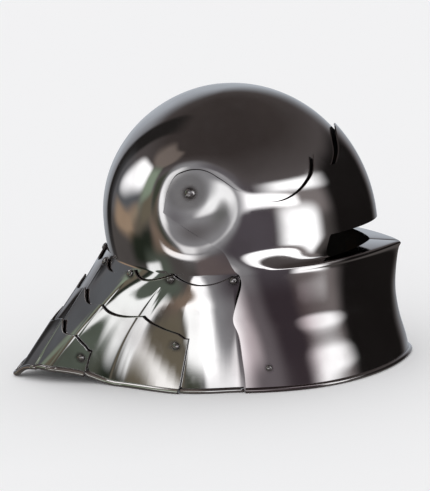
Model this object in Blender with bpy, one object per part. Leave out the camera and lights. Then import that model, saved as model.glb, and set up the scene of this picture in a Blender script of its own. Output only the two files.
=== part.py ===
# Sallet helmet with a pivoting visor and a tail of three lames, in metres.
# +X is the wearer's front, +Y the wearer's left, +Z up, and the rims stand on z = 0.

import math

import bmesh
import bpy
import numpy as np
from mathutils import Matrix, Vector

# Plate and working clearances
PLATE = 0.0016
LAME_GAP = 0.0012
LAYER = PLATE + LAME_GAP
VISOR_GAP = 0.0029
VISOR_LIFT = PLATE + VISOR_GAP
RIM_RADIUS = 0.0024
HOLE_GAP = 0.0004
SEAT_GAP = 0.0004

# Skull
SKULL_CENTRE = 0.033
SKULL_FRONT = 0.127
SKULL_REAR = 0.128
SKULL_HALF_WIDTH = 0.104
SKULL_TOP = 0.2685
WIDEST_HEIGHT = 0.150
FRONT_HEIGHT = 0.127
SKULL_TUCK = 0.150
NECK_HEIGHT = 0.1095
NECK_REAR_RISE = 0.010
BROW_EDGE = 0.143
SIDE_FULLNESS = 2.2
WIDEST_ALONG = -0.30
FRONT_POINT = 0.60
REAR_POINT = 0.46
FACE_TURN = (54.0, 74.0)
FLANGE_TURN = (70.0, 84.0)
FLANGE_FALL = 0.12
BROW_TURN_IN = 0.003

# Visor pivot, with the flat that the visor's lobe turns on
PIVOT_X = -0.0113
PIVOT_HEIGHT = 0.190
PIVOT_HALF_WIDTH = 0.0950
FLAT_RADIUS = 0.012
FLAT_BLEND = 0.065

# Rim outline in plan
RIM_HALF_WIDTH = 0.1160
TAIL_REACH = 0.1895
RIM_RISE = 0.011

# Visor
SLOT_SHARE = 0.50
BROW_HEIGHT = 0.1335
BROW_RISE = 0.0035
LEDGE_HEIGHT = 0.1073
LEDGE_REACH = 0.1853
VISOR_HALF_WIDTH = 0.1220
VISOR_REAR_REACH = 0.140
VISOR_REAR = 0.0300
VISOR_REAR_POINT = 0.50

# Rivets
PIVOT_HEAD = 0.0050
PIVOT_SHANK = 0.0025
RIVET_HEAD = 0.0036
RIVET_SHANK = 0.0016
SMALL_HEAD = 0.0026
RIVET_SIDES = 8
HOLE_SIDES = 8
NECK_RIVET_RIBS = (1.0, 2.0, 3.0, 4.0)

# Facets of the skull round its girth, and of a rolled rim
SKULL_COLUMNS = 42
RIM_STEPS = 6

# Ribs of the tail, counted from the middle of the back: the turn of each on the neck in degrees,
# and its rim end as shares of TAIL_REACH, RIM_HALF_WIDTH and RIM_RISE.
NECK_RIBS = (0.0, 1.0, 2.0, 3.0, 4.0, 5.0)
NECK_TURNS = (180.0, 168.0, 142.0, 120.0, 94.0, 70.0)
RIM_RIBS = (0.0, 0.5, 1.0, 2.0, 2.55, 3.0, 3.5, 4.0, 5.0)
RIM_ALONG = (-0.962, -0.913, -0.872, -0.800, -0.640, -0.486, -0.161, 0.125, 0.379)
RIM_ACROSS = (0.0, 0.077, 0.150, 0.243, 0.372, 0.517, 0.932, 1.0, 1.013)
RIM_LIFT = (0.0, 0.72, 0.95, 1.0, 0.66, 0.0, 0.0, 0.0, 0.0)
FLARE = (-0.05, -0.02, 0.0, -0.10, -0.36, -0.50, -0.05, 0.5, 0.6)
FLUTE = 0.0013

# Top edges of the lames as shares of the way from neck to rim, at their ribs
UPPER_TOP = ((0.0, 1.0, 2.0, 3.0, 4.0, 5.0), (0.012, 0.012, 0.012, 0.012, 0.012, 0.020))
MIDDLE_TOP = ((0.0, 1.0, 2.0, 3.0, 3.12, 3.25, 3.38, 3.44), (0.265, 0.300, 0.365, 0.390, 0.445, 0.485, 0.515, 0.550))
LOWER_TOP = ((0.0, 1.0, 2.0, 2.35, 2.45), (0.545, 0.590, 0.670, 0.755, 0.790))
UPPER_DIP = 0.078
MIDDLE_DIP = 0.060
LOWER_DIP = 0.052
OVERLAP = 0.13
NECK_RIVET_FALL = 0.050
MIDDLE_END = 3.475
LOWER_END = (2.50, 2.56)
MIDDLE_PIVOT = (3.385, 0.615)
LOWER_PIVOT = (2.40, 0.860)
VISOR_RIVET = (0.905, 0.205)

# Sections of the visor from the rim up to the ledge's root. Heights are shares of LEDGE_HEIGHT, the
# reach is a share of LEDGE_REACH, the width a share of VISOR_HALF_WIDTH, and the rear edge and the
# middle of the section are shares of VISOR_REAR.
# height front, height rear, reach, half width, point of the front, middle, rear edge
VISOR_SECTIONS = (
    (1.036, 1.080, 0.843, 0.889, 0.72, 1.10, 0.83),
    (1.012, 1.060, 0.950, 0.890, 0.82, 1.10, 0.88),
    (1.000, 1.045, 0.992, 0.891, 0.89, 1.10, 0.94),
    (0.982, 1.025, 1.000, 0.892, 0.91, 1.10, 1.00),
    (0.960, 1.000, 0.993, 0.893, 0.91, 1.12, 1.02),
    (0.880, 0.900, 0.980, 0.900, 0.88, 1.25, 1.00),
    (0.680, 0.660, 0.963, 0.915, 0.80, 1.50, 0.72),
    (0.500, 0.520, 0.962, 0.930, 0.74, 1.70, 0.84),
    (0.320, 0.330, 0.977, 0.953, 0.70, 1.85, 0.92),
    (0.170, 0.170, 0.998, 0.977, 0.67, 1.95, 0.96),
    (0.042, 0.042, 1.010, 1.000, 0.65, 2.00, 0.97),
)

# Top edge of the visor: share of the way round, turn in degrees, height as a share of SKULL_TOP
VISOR_TOP_EDGE = (
    (0.000, 0.0, 0.842),
    (0.080, 8.0, 0.836),
    (0.140, 14.0, 0.824),
    (0.190, 19.5, 0.806),
    (0.240, 25.5, 0.776),
    (0.290, 31.0, 0.752),
    (0.340, 35.0, 0.738),
    (0.390, 40.5, 0.742),
    (0.440, 46.8, 0.786),
    (0.470, 51.0, 0.734),
    (0.505, 55.8, 0.703),
    (0.560, 64.0, 0.667),
    (0.620, 72.2, 0.653),
    (0.680, 79.2, 0.666),
    (0.740, 85.8, 0.694),
    (0.780, 90.5, 0.710),
    (0.835, 97.2, 0.749),
    (0.880, 103.5, 0.779),
    (0.910, 108.5, 0.788),
    (0.940, 114.5, 0.784),
    (0.965, 119.5, 0.764),
    (0.985, 121.8, 0.710),
    (1.000, 122.8, 0.645),
)
BROW_REAR_TURN = 99.0

STEEL = (0.60, 0.60, 0.62, 1.0)
DARK_STEEL = (0.42, 0.42, 0.44, 1.0)


def smooth_step(value, start, end):
    """Blend from 0 at the start to 1 at the end."""
    share = np.clip((value - start) / (end - start), 0.0, 1.0)
    return share * share * (3.0 - 2.0 * share)


def soft_step(value, start, end):
    """Blend from 0 at the start to 1 at the end, with no jump in its bend."""
    share = np.clip((value - start) / (end - start), 0.0, 1.0)
    return share ** 3 * (share * (6.0 * share - 15.0) + 10.0)


def through(stations, values, at):
    """Smooth curve through values set by hand at rising stations."""
    stations = np.asarray(stations, float)
    values = np.asarray(values, float)
    slopes = np.gradient(values, stations)
    at = np.clip(at, stations[0], stations[-1])
    left = np.clip(np.searchsorted(stations, at, side="right") - 1, 0, len(stations) - 2)
    gap = stations[left + 1] - stations[left]
    share = (at - stations[left]) / gap
    rise = values[left + 1] - values[left]
    bend_left = slopes[left] * gap - rise
    bend_right = rise - slopes[left + 1] * gap
    return values[left] + share * rise + share * (1 - share) * ((1 - share) * bend_left + share * bend_right)


def unit(vectors):
    """Vectors of length one."""
    return vectors / np.linalg.norm(vectors, axis=-1, keepdims=True)


def dome_rise(height, widest, lift):
    """Share of the way from the dome's widest height up to its crown, or down to its closed bottom."""
    over = (height - widest) / (SKULL_TOP + lift - widest)
    under = (widest - height) / SKULL_TUCK
    return np.clip(np.maximum(over, under), 0.0, 1.0)


def plan_width(along):
    """Egg-shaped plan of the dome: its half width at a share of the way to its front (1) or its back (-1)."""
    ahead = along > WIDEST_ALONG
    share = np.abs(along - WIDEST_ALONG) / np.where(ahead, 1 - WIDEST_ALONG, 1 + WIDEST_ALONG)
    return (1 - np.minimum(share, 1.0) ** SIDE_FULLNESS) ** np.where(ahead, FRONT_POINT, REAR_POINT)


def dome(turn, height, lift):
    """Point on the skull's outer face, or on a face lifted off it.

    The turn runs from 0 at the front to 180 degrees at the back, negative on the right side.
    """
    turn, height = np.broadcast_arrays(np.asarray(turn, float), np.asarray(height, float))
    along = np.cos(np.radians(turn))
    reach = np.where(along > 0, SKULL_FRONT, SKULL_REAR) + lift
    length = np.sqrt(1 - dome_rise(height, np.where(along > 0, FRONT_HEIGHT, WIDEST_HEIGHT), lift) ** 2)
    x = SKULL_CENTRE + reach * length * along
    girth = (1 - dome_rise(height, WIDEST_HEIGHT, lift) ** SIDE_FULLNESS) ** (1 / SIDE_FULLNESS)
    y = (SKULL_HALF_WIDTH + lift) * girth * plan_width(along)
    away = np.hypot(x - PIVOT_X, height - PIVOT_HEIGHT)
    flat = PIVOT_HALF_WIDTH + lift
    y = flat + (y - flat) * soft_step(away, FLAT_RADIUS, FLAT_BLEND)
    return np.stack([x, np.sign(turn) * y, height], axis=-1)


def neck_height(turn):
    """Height of the crease where the skull turns out into its flange."""
    back = np.maximum(-np.cos(np.radians(turn)), 0.0)
    return NECK_HEIGHT + NECK_REAR_RISE * back ** 1.3


def dips(rib):
    """Depth of the scallops, 0 at each rib and 1 half way between."""
    rib = np.abs(rib)
    return np.where(rib < 1.0, np.cos(rib * math.pi / 2), np.abs(np.sin((rib - 1.0) * math.pi)))


def skirt_smooth(rib, fall):
    """Point on the upper lame's outer face before the flutes, from the neck (fall 0) to the rim (1)."""
    rib, fall = np.broadcast_arrays(np.asarray(rib, float), np.asarray(fall, float))
    count = np.abs(rib)
    turn = through(NECK_RIBS, NECK_TURNS, count)
    neck = dome(turn, neck_height(turn), 0.0)
    out = np.stack([np.cos(np.radians(turn)), np.sin(np.radians(turn)), np.zeros_like(turn)], axis=-1)
    neck = neck + LAYER * out
    rim_x = TAIL_REACH * through(RIM_RIBS, RIM_ALONG, count)
    rim_y = RIM_HALF_WIDTH * through(RIM_RIBS, RIM_ACROSS, count)
    rim_z = RIM_RADIUS + RIM_RISE * np.maximum(through(RIM_RIBS, RIM_LIFT, count), 0.0)
    flare = fall + through(RIM_RIBS, FLARE, count) * (fall * fall - fall)
    x = neck[..., 0] + (rim_x - neck[..., 0]) * flare
    y = neck[..., 1] + (rim_y - neck[..., 1]) * flare
    z = neck[..., 2] + (rim_z - neck[..., 2]) * fall
    return np.stack([x, np.where(rib < 0, -y, y), z], axis=-1)


def skirt(rib, fall, lift):
    """Point on the fluted skirt lifted off the upper lame's face, with its outward normal."""
    step = 0.002
    rib, fall = np.broadcast_arrays(np.asarray(rib, float), np.asarray(fall, float))
    along = skirt_smooth(rib + step, fall) - skirt_smooth(rib - step, fall)
    down = skirt_smooth(rib, fall + step) - skirt_smooth(rib, fall - step)
    normal = unit(np.cross(along, down))
    flute = FLUTE * dips(rib) * smooth_step(fall, 0.06, 0.30)
    return skirt_smooth(rib, fall) + (lift - flute)[..., None] * normal, normal


def rim_drop(radius):
    """How far the rolled rim's centre lies below the end of the plate's outer face."""
    return np.sqrt(np.maximum(radius ** 2 - (radius - PLATE) ** 2, 0.0))


def rim_rows(edge, above, normal, radius, steps):
    """Rows of points round a rolled rim, from the plate's outer face to its inner face."""
    along = unit(np.gradient(edge, axis=0))
    down = edge - above
    down = unit(down - along * np.sum(down * along, axis=-1, keepdims=True))
    out = normal - along * np.sum(normal * along, axis=-1, keepdims=True)
    out = unit(out - down * np.sum(out * down, axis=-1, keepdims=True))
    drop = rim_drop(radius)
    centre = edge + (radius - PLATE)[:, None] * out + drop[:, None] * down
    start = np.arctan2(-drop, PLATE - radius)
    rows = []
    for step in range(1, steps):
        angle = start + (math.pi - start) * step / steps
        arm = np.cos(angle)[:, None] * out + np.sin(angle)[:, None] * down
        rows.append(centre + radius[:, None] * arm)
    return rows


def rim_fall(rib, lift, radius):
    """Way down the skirt at which the rolled rim's underside meets its height."""
    lowest = RIM_RISE * np.maximum(through(RIM_RIBS, RIM_LIFT, np.abs(rib)), 0.0)
    fall = np.ones_like(rib)
    step = 0.01
    for _ in range(5):
        point, normal = skirt(rib, fall, lift)
        before, _ = skirt(rib, fall - step, lift)
        down = unit(point - before)
        centre = point[:, 2] + (radius - PLATE) * normal[:, 2] + rim_drop(radius) * down[:, 2]
        slope = (before[:, 2] - point[:, 2]) / step
        fall = fall + (centre - radius - lowest) / slope
    return fall


def steel_material(name, color, roughness):
    """Polished steel in one colour."""
    material = bpy.data.materials.new(name)
    material.use_nodes = True
    shader = material.node_tree.nodes["Principled BSDF"]
    shader.inputs["Base Color"].default_value = color
    shader.inputs["Roughness"].default_value = roughness
    shader.inputs["Metallic"].default_value = 1.0
    material.diffuse_color = color
    return material


def add_object(name, body, color=STEEL, roughness=0.12):
    """Object made from a bmesh, shaded smooth, with its own material."""
    bmesh.ops.recalc_face_normals(body, faces=body.faces)
    mesh = bpy.data.meshes.new(name)
    body.to_mesh(mesh)
    body.free()
    thing = bpy.data.objects.new(name, mesh)
    bpy.context.scene.collection.objects.link(thing)
    mesh.shade_smooth()
    mesh.set_sharp_from_angle(angle=math.radians(40))
    mesh.materials.append(steel_material(name, color, roughness))
    return thing


def plate_body(outer, inner, rim=(), present=None, ring=False, crown=None):
    """Closed plate between matching grids of outer and inner points, with rows from the top down."""
    body = bmesh.new()
    rows, columns = outer.shape[:2]
    chain = [[body.verts.new(point) for point in row] for row in list(outer) + list(rim) + list(inner)[::-1]]
    last = len(chain) - 1
    spans = columns if ring else columns - 1
    edges = {}
    for row in range(rows - 1):
        for column in range(spans):
            if present is not None and not present[row][column]:
                continue
            beside = (column + 1) % columns
            for face in (row, last - row - 1):
                body.faces.new((chain[face][column], chain[face][beside],
                                chain[face + 1][beside], chain[face + 1][column]))
            for edge in (((row, column), (row, beside)), ((row + 1, column), (row + 1, beside)),
                         ((row, column), (row + 1, column)), ((row, beside), (row + 1, beside))):
                edges[edge] = edges.get(edge, 0) + 1
    for (start, end), uses in edges.items():
        at_rim = start[0] == end[0] == rows - 1
        at_crown = crown is not None and start[0] == end[0] == 0
        if uses == 1 and not at_rim and not at_crown:
            body.faces.new((chain[start[0]][start[1]], chain[end[0]][end[1]],
                            chain[last - end[0]][end[1]], chain[last - start[0]][start[1]]))
    for row in range(rows - 1, last - rows + 1):
        for column in range(spans):
            beside = (column + 1) % columns
            body.faces.new((chain[row][column], chain[row][beside],
                            chain[row + 1][beside], chain[row + 1][column]))
    if rim and not ring:
        for column in (0, columns - 1):
            body.faces.new([chain[row][column] for row in range(rows - 1, last - rows + 2)])
    if crown is not None:
        for pole, row in zip(crown, (0, last)):
            middle = body.verts.new(pole)
            for column in range(spans):
                body.faces.new((middle, chain[row][column], chain[row][(column + 1) % columns]))
    bmesh.ops.delete(body, geom=[vert for vert in body.verts if not vert.link_faces], context="VERTS")
    return body


def turned_body(profile, sides):
    """Closed body turned about Z from a profile of (radius, height) that starts and ends on the axis."""
    body = bmesh.new()
    verts = [body.verts.new((radius, 0.0, height)) for radius, height in profile]
    edges = [body.edges.new(pair) for pair in zip(verts, verts[1:])]
    bmesh.ops.spin(body, geom=verts + edges, axis=(0, 0, 1), cent=(0, 0, 0), steps=sides, angle=math.tau)
    bmesh.ops.remove_doubles(body, verts=body.verts, dist=0.00001)
    return body


def frame_on(place, axis):
    """Matrix that puts Z along an axis at a place."""
    return Matrix.Translation(Vector(place)) @ Vector(axis).to_track_quat("Z", "Y").to_matrix().to_4x4()


def add_rivet(name, place, axis, head, shank, grip, flush=False):
    """Domed rivet: its head's seat at the place, its shank through the grip to a closed or flush tail."""
    profile = [(0.0, head * 0.50), (head * 0.62, head * 0.38), (head, 0.0), (shank, 0.0), (shank, -grip)]
    if not flush:
        tail = shank * 1.5
        depth = -grip - shank * 0.6
        profile += [(tail, -grip), (tail * 0.7, depth)]
    profile.append((0.0, profile[-1][1]))
    rivet = add_object(name, turned_body(profile, RIVET_SIDES), DARK_STEEL, 0.25)
    rivet.matrix_world = frame_on(place, axis)
    return rivet


def cut_holes(thing, holes):
    """Round holes through a plate, each given as a place, an axis and a radius."""
    body = bmesh.new()
    for place, axis, radius in holes:
        bmesh.ops.create_cone(body, cap_ends=True, segments=HOLE_SIDES, radius1=radius, radius2=radius,
                              depth=8 * PLATE, matrix=frame_on(place, axis))
    cutter = add_object(thing.name + "_holes", body)
    cutter.parent = thing
    cutter.hide_render = True
    cutter.display_type = "WIRE"
    modifier = thing.modifiers.new("Rivet holes", "BOOLEAN")
    modifier.operation = "DIFFERENCE"
    modifier.solver = "EXACT"
    modifier.object = cutter


def add_hinge(name, place, things):
    """Empty at the middle of a joint's axis, with what turns about it as its children."""
    hinge = bpy.data.objects.new(name, None)
    bpy.context.scene.collection.objects.link(hinge)
    hinge.location = (place[0], 0.0, place[2])
    for thing in things:
        thing.parent = hinge
        thing.matrix_parent_inverse = Matrix.Translation(-hinge.location)
    return hinge


def both_sides(place):
    """A place and its mirror image, with the side's letter and sign."""
    return (("right", -1.0, place * np.array([1, -1, 1])), ("left", 1.0, place))


def skull_body():
    """Skull from the crown down to its brow edge and its neck flange."""
    columns = SKULL_COLUMNS
    turn = np.linspace(-180.0, 180.0, columns, endpoint=False)
    size = np.abs(turn)
    low = neck_height(turn)
    edge = BROW_EDGE + (low - BROW_EDGE) * smooth_step(size, *FACE_TURN)
    outer = []
    for polar in np.radians((10, 22, 34, 46, 58, 70, 80)):
        height = WIDEST_HEIGHT + (SKULL_TOP - WIDEST_HEIGHT) * math.cos(polar)
        outer.append(dome(turn, np.full(columns, height), 0.0))
    for share in (0.0, 0.4, 0.75, 1.0):
        outer.append(dome(turn, WIDEST_HEIGHT + (edge - WIDEST_HEIGHT) * share, 0.0))
    rib = np.interp(size, NECK_TURNS[::-1], NECK_RIBS[::-1]) * np.where(turn < 0, -1.0, 1.0)
    flange = smooth_step(size, *FLANGE_TURN)[:, None]
    for share in (0.12, 0.45, 1.0):
        out, _ = skirt(rib, np.full(columns, share * FLANGE_FALL), -LAYER)
        plain = dome(turn, edge - BROW_TURN_IN * share, 0.0)
        outer.append(plain + (out - plain) * flange)
    outer = np.array(outer)
    inner = outer - PLATE * ring_normals(outer)
    crown = ((SKULL_CENTRE, 0.0, SKULL_TOP), (SKULL_CENTRE, 0.0, SKULL_TOP - PLATE))
    return plate_body(outer, inner, ring=True, crown=crown)


def ring_normals(grid):
    """Outward normals of a grid of points that closes on itself, with rows from the top down."""
    along = np.roll(grid, -1, axis=1) - np.roll(grid, 1, axis=1)
    return unit(np.cross(along, np.gradient(grid, axis=0))) * -1.0


def sheet_normals(grid):
    """Outward normals of an open grid of points, with rows from the top down."""
    return unit(np.cross(np.gradient(grid, axis=0), np.gradient(grid, axis=1)))


def lame_body(ribs, top, bottom, lift, radius, rows, ends=None):
    """Lame between its top and bottom edges, rolled where its radius is more than half the plate."""
    ribs = np.asarray(ribs, float)
    outer = []
    normals = []
    for share in np.linspace(0.0, 1.0, rows):
        across = ribs if ends is None else ends(ribs, share)
        point, normal = skirt(across, top + (bottom - top) * share, lift)
        outer.append(point)
        normals.append(normal)
    outer = np.array(outer)
    inner = outer - PLATE * np.array(normals)
    rim = rim_rows(outer[-1], outer[-2], normals[-1], radius, RIM_STEPS)
    return plate_body(outer, inner, rim)


def mirrored(values):
    """Values from the front of the right side round the back to the front of the left side."""
    values = np.asarray(values, float)
    return np.concatenate([-values[::-1], values[1:]])


def top_edge(table, dip, ribs, last_dip):
    """Scalloped top edge, with no dips in front of the last one."""
    size = np.abs(ribs)
    return np.interp(size, *table) + dip * dips(ribs) * (size <= last_dip)


def upper_lame_body():
    """Upper lame and side plate in one, with a plain tongue inside the visor."""
    start = MIDDLE_END + 0.016
    ribs = mirrored([0, .25, .5, .75, 1, 1.25, 1.5, 1.75, 2, 2.25, 2.5, 2.75, 3, 3.12, 3.24, 3.36,
                     MIDDLE_END, start - 0.004, start + 0.004, 3.75, 4, 4.06, 4.4, 4.7, 5])
    size = np.abs(ribs)
    rolled = (size > start) & (size < 4.05)
    radius = np.where(rolled, RIM_RADIUS, PLATE / 2)
    hidden = np.interp(size, *MIDDLE_TOP) + OVERLAP
    hidden = hidden + (0.97 - hidden) * smooth_step(size, 3.1, 3.36)
    floor = rim_fall(ribs, np.zeros_like(ribs), radius)
    bottom = np.where(size > start, floor, hidden)
    top = top_edge(UPPER_TOP, UPPER_DIP, ribs, 4.0)
    return lame_body(ribs, top, bottom, np.zeros_like(ribs), radius, 5)


def middle_lame_body():
    """Middle lame, outside the upper one."""
    start = LOWER_END[1] + 0.030
    ribs = mirrored([0, .25, .5, .75, 1, 1.25, 1.5, 1.75, 2, 2.25, 2.5,
                     start - 0.004, start + 0.004, 2.75, 3, 3.12, 3.24, 3.36, MIDDLE_END])
    size = np.abs(ribs)
    lift = np.full_like(ribs, LAYER)
    rolled = size > start
    radius = np.where(rolled, RIM_RADIUS, PLATE / 2)
    hidden = np.interp(size, *LOWER_TOP) + OVERLAP
    hidden = hidden + (0.95 - hidden) * smooth_step(size, 2.1, 2.4)
    floor = rim_fall(ribs, lift, radius)
    bottom = np.where(rolled, floor, hidden)
    top = top_edge(MIDDLE_TOP, MIDDLE_DIP, ribs, 3.0)
    return lame_body(ribs, top, bottom, lift, radius, 5)


def lower_lame_body():
    """Lower lame, outside the middle one, with the tail's tip."""
    ribs = mirrored([0, .25, .5, .75, 1, 1.25, 1.5, 1.75, 2, 2.25, LOWER_END[0]])
    lift = np.full_like(ribs, 2 * LAYER)
    radius = np.full_like(ribs, RIM_RADIUS)
    spread = (LOWER_END[1] - 2.0) / (LOWER_END[0] - 2.0)

    def ends(ribs, share):
        size = np.abs(ribs)
        past = np.maximum(size - 2.0, 0.0)
        return np.sign(ribs) * (np.minimum(size, 2.0) + past * (1 + (spread - 1) * share))

    floor = rim_fall(ends(ribs, 1.0), lift, radius)
    top = top_edge(LOWER_TOP, LOWER_DIP, ribs, 2.0)
    return lame_body(ribs, top, floor, lift, radius, 4, ends)


def visor_section(share, row):
    """Row of points round the visor at one of its lower sections."""
    front, rear, reach, width, point, middle, edge = row
    centre = VISOR_REAR * middle
    front_reach = LEDGE_REACH * reach - centre
    offset = VISOR_REAR * edge - centre
    last = math.degrees(math.acos(offset / (front_reach if offset > 0 else VISOR_REAR_REACH)))
    along = np.cos(np.radians(last * np.abs(share)))
    x = centre + np.where(along > 0, front_reach, VISOR_REAR_REACH) * along
    power = np.where(along > 0, point, VISOR_REAR_POINT)
    y = VISOR_HALF_WIDTH * width * (1 - np.abs(along) ** SIDE_FULLNESS) ** power
    z = LEDGE_HEIGHT * (front + (rear - front) * np.abs(share) ** 0.7)
    return np.stack([x, np.sign(share) * y, z], axis=-1)


def visor_upper(share, climb):
    """Point on the visor above the slot, from the brow (climb 0) to the top edge (1)."""
    size = np.abs(share)
    shares, turns, heights = np.array(VISOR_TOP_EDGE).T
    turn = BROW_REAR_TURN * size
    turn = turn + (np.interp(size, shares, turns) - turn) * climb
    height = BROW_HEIGHT + BROW_RISE * size
    height = height + (SKULL_TOP * np.interp(size, shares, heights) - height) * climb
    return dome(np.sign(share) * turn, height, VISOR_LIFT)


def visor_spot(share, height):
    """Point and outward normal on the lower visor, at a share of the way round and of LEDGE_HEIGHT."""
    table = np.array(VISOR_SECTIONS)[::-1]
    step = 0.01

    def at(share, height):
        row = [np.interp(height, table[:, 0], column) for column in table.T]
        return visor_section(np.array([share]), row)[0]

    along = at(share + step, height) - at(share - step, height)
    up = at(share, height + step) - at(share, height - step)
    return at(share, height), unit(np.cross(along, up))


def visor_body():
    """Visor from its top edge over the slot and the ledge down to its rolled rim."""
    share = mirrored([0, .05, .10, .15, .20, .25, .30, .35, .39, .44, .47, SLOT_SHARE,
                      .56, .62, .68, .75, .82, .88, .92, .95, .98, 1])
    climbs = (1.0, 0.8, 0.6, 0.4, 0.2, 0.0)
    rows = [visor_upper(share, climb) for climb in climbs]
    lower = [visor_section(share, row) for row in VISOR_SECTIONS]
    outer = np.array(rows + lower)
    normals = sheet_normals(outer)
    inner = outer - PLATE * normals
    radius = np.full(len(share), RIM_RADIUS)
    rim = rim_rows(outer[-1], outer[-2], normals[-1], radius, RIM_STEPS)
    middle = (share[1:] + share[:-1]) / 2
    slot_row = len(climbs) - 1
    present = [[row != slot_row or abs(at) > SLOT_SHARE for at in middle] for row in range(len(outer) - 1)]
    return plate_body(outer, inner, rim, present)


def add_pair(label, place, normal, sizes, flush=False):
    """Rivet on each side of the helmet, its sizes being its head, shank and grip."""
    rivets = []
    for side, sign, spot in both_sides(place):
        axis = normal * np.array([1, sign, 1])
        rivets.append(add_rivet(label.format(side), spot + SEAT_GAP * axis, axis, *sizes, flush))
    return rivets


def hole_pair(place, normal, shank):
    """Hole with running room for a shank on each side of the helmet."""
    return [(spot, normal * np.array([1, sign, 1]), shank + HOLE_GAP) for _, sign, spot in both_sides(place)]


def build():
    """All pieces of the helmet."""
    skull = add_object("skull", skull_body())
    visor = add_object("visor", visor_body())
    upper = add_object("tail_lame_upper", upper_lame_body())
    middle = add_object("tail_lame_middle", middle_lame_body())
    lower = add_object("tail_lame_lower", lower_lame_body())
    two_plates = (RIVET_HEAD, RIVET_SHANK, LAYER + PLATE + 3 * SEAT_GAP)

    neck_holes = []
    for rib in NECK_RIVET_RIBS:
        place, normal = skirt(rib, NECK_RIVET_FALL, 0.0)
        add_pair(f"neck_rivet_{{}}_{int(rib)}", place, normal, two_plates)
        neck_holes += hole_pair(place, normal, RIVET_SHANK)

    middle_place, normal = skirt(*MIDDLE_PIVOT, LAYER)
    add_pair("middle_lame_rivet_{}", middle_place, normal, two_plates)
    middle_holes = hole_pair(middle_place, normal, RIVET_SHANK)

    lower_place, normal = skirt(*LOWER_PIVOT, 2 * LAYER)
    lower_rivets = add_pair("lower_lame_rivet_{}", lower_place, normal, two_plates)
    lower_holes = hole_pair(lower_place, normal, RIVET_SHANK)

    side = np.array([0.0, 1.0, 0.0])
    pivot = np.array([PIVOT_X, PIVOT_HALF_WIDTH + VISOR_LIFT, PIVOT_HEIGHT])
    add_pair("visor_pivot_{}", pivot, side, (PIVOT_HEAD, PIVOT_SHANK, VISOR_LIFT + PLATE + 2 * SEAT_GAP))
    pivot_holes = hole_pair(pivot - VISOR_LIFT / 2 * side, side, PIVOT_SHANK)

    place, normal = visor_spot(*VISOR_RIVET)
    visor_rivets = add_pair("visor_rivet_{}", place, normal, (SMALL_HEAD, RIVET_SHANK, PLATE + SEAT_GAP), True)

    cut_holes(skull, neck_holes + pivot_holes)
    cut_holes(upper, neck_holes + middle_holes)
    cut_holes(middle, middle_holes + lower_holes)
    cut_holes(lower, lower_holes)
    cut_holes(visor, pivot_holes + hole_pair(place, normal, RIVET_SHANK))

    add_hinge("visor_hinge", pivot, [visor] + visor_rivets)
    lower_hinge = add_hinge("lower_lame_hinge", lower_place, [lower])
    add_hinge("middle_lame_hinge", middle_place, [middle, lower_hinge] + lower_rivets)


for thing in list(bpy.data.objects):
    bpy.data.objects.remove(thing)
build()
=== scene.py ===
# %% [markdown]
# A polished sallet helmet, dressed for its portrait. The solids that carry its weight and its hinges
# come in first, as a fixed frame. Every plate is then drawn again over its solid, fine enough that a
# mirror polish shows no facets, because a mirror gives away each flat that a duller finish would hide.

# %% The frame
import math

import bmesh
import bpy
import numpy as np
from mathutils import Matrix, Vector


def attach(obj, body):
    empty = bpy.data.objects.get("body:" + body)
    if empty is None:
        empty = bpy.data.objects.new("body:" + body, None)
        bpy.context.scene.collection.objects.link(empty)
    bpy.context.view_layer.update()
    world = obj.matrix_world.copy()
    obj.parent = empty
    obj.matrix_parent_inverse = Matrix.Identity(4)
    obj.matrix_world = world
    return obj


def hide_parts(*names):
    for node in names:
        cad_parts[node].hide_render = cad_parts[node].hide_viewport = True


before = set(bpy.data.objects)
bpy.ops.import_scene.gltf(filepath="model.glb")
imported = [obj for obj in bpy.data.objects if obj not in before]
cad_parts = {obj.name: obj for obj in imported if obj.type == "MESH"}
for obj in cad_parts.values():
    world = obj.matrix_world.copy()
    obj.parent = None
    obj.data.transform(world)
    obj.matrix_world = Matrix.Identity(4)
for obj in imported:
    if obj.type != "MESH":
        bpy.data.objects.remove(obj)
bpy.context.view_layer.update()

# %% [markdown]
# A plate is a surface with a thickness. Two facts make the whole helmet: the steel is 1.6 mm thick,
# and neighbouring plates keep a small gap so that they can slide. The sizes below are the smith's own
# drawing, in metres, and the same ones that the solids were made from.

# %% Sizes of the plates
PLATE = 0.0016
LAME_GAP = 0.0012
LAYER = PLATE + LAME_GAP
VISOR_LIFT = PLATE + 0.0029
RIM_RADIUS = 0.0024

SKULL_CENTRE = 0.033
SKULL_FRONT = 0.127
SKULL_REAR = 0.128
SKULL_HALF_WIDTH = 0.104
SKULL_TOP = 0.2685
WIDEST_HEIGHT = 0.150
FRONT_HEIGHT = 0.127
SKULL_TUCK = 0.150
NECK_HEIGHT = 0.1095
NECK_REAR_RISE = 0.010
BROW_EDGE = 0.143
SIDE_FULLNESS = 2.2
WIDEST_ALONG = -0.30
FRONT_POINT = 0.60
REAR_POINT = 0.46
FACE_TURN = (54.0, 74.0)
FLANGE_TURN = (70.0, 84.0)
FLANGE_FALL = 0.12
BROW_TURN_IN = 0.003
NECK_CURVE = 1.3

PIVOT_X = -0.0113
PIVOT_HEIGHT = 0.190
PIVOT_HALF_WIDTH = 0.0950
FLAT_RADIUS = 0.012
FLAT_BLEND = 0.065
print("plate", PLATE * 1000, "mm")

# %% [markdown]
# The skull is one raised bowl. Its plan is an egg, widest behind the middle, and its crown is a soft
# oval. A formula gives any point from a turn round the bowl and a height, so the same formula can
# lay the visor over it, a few millimetres further out. Where the visor's lobe turns, the bowl is
# hammered flat, and the blend into that flat must not jump in its bend, or a mirror shows a line.

# %% The bowl's formula
def smooth_step(value, start, end):
    """Blend from 0 at the start to 1 at the end."""
    share = np.clip((value - start) / (end - start), 0.0, 1.0)
    return share * share * (3.0 - 2.0 * share)


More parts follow.
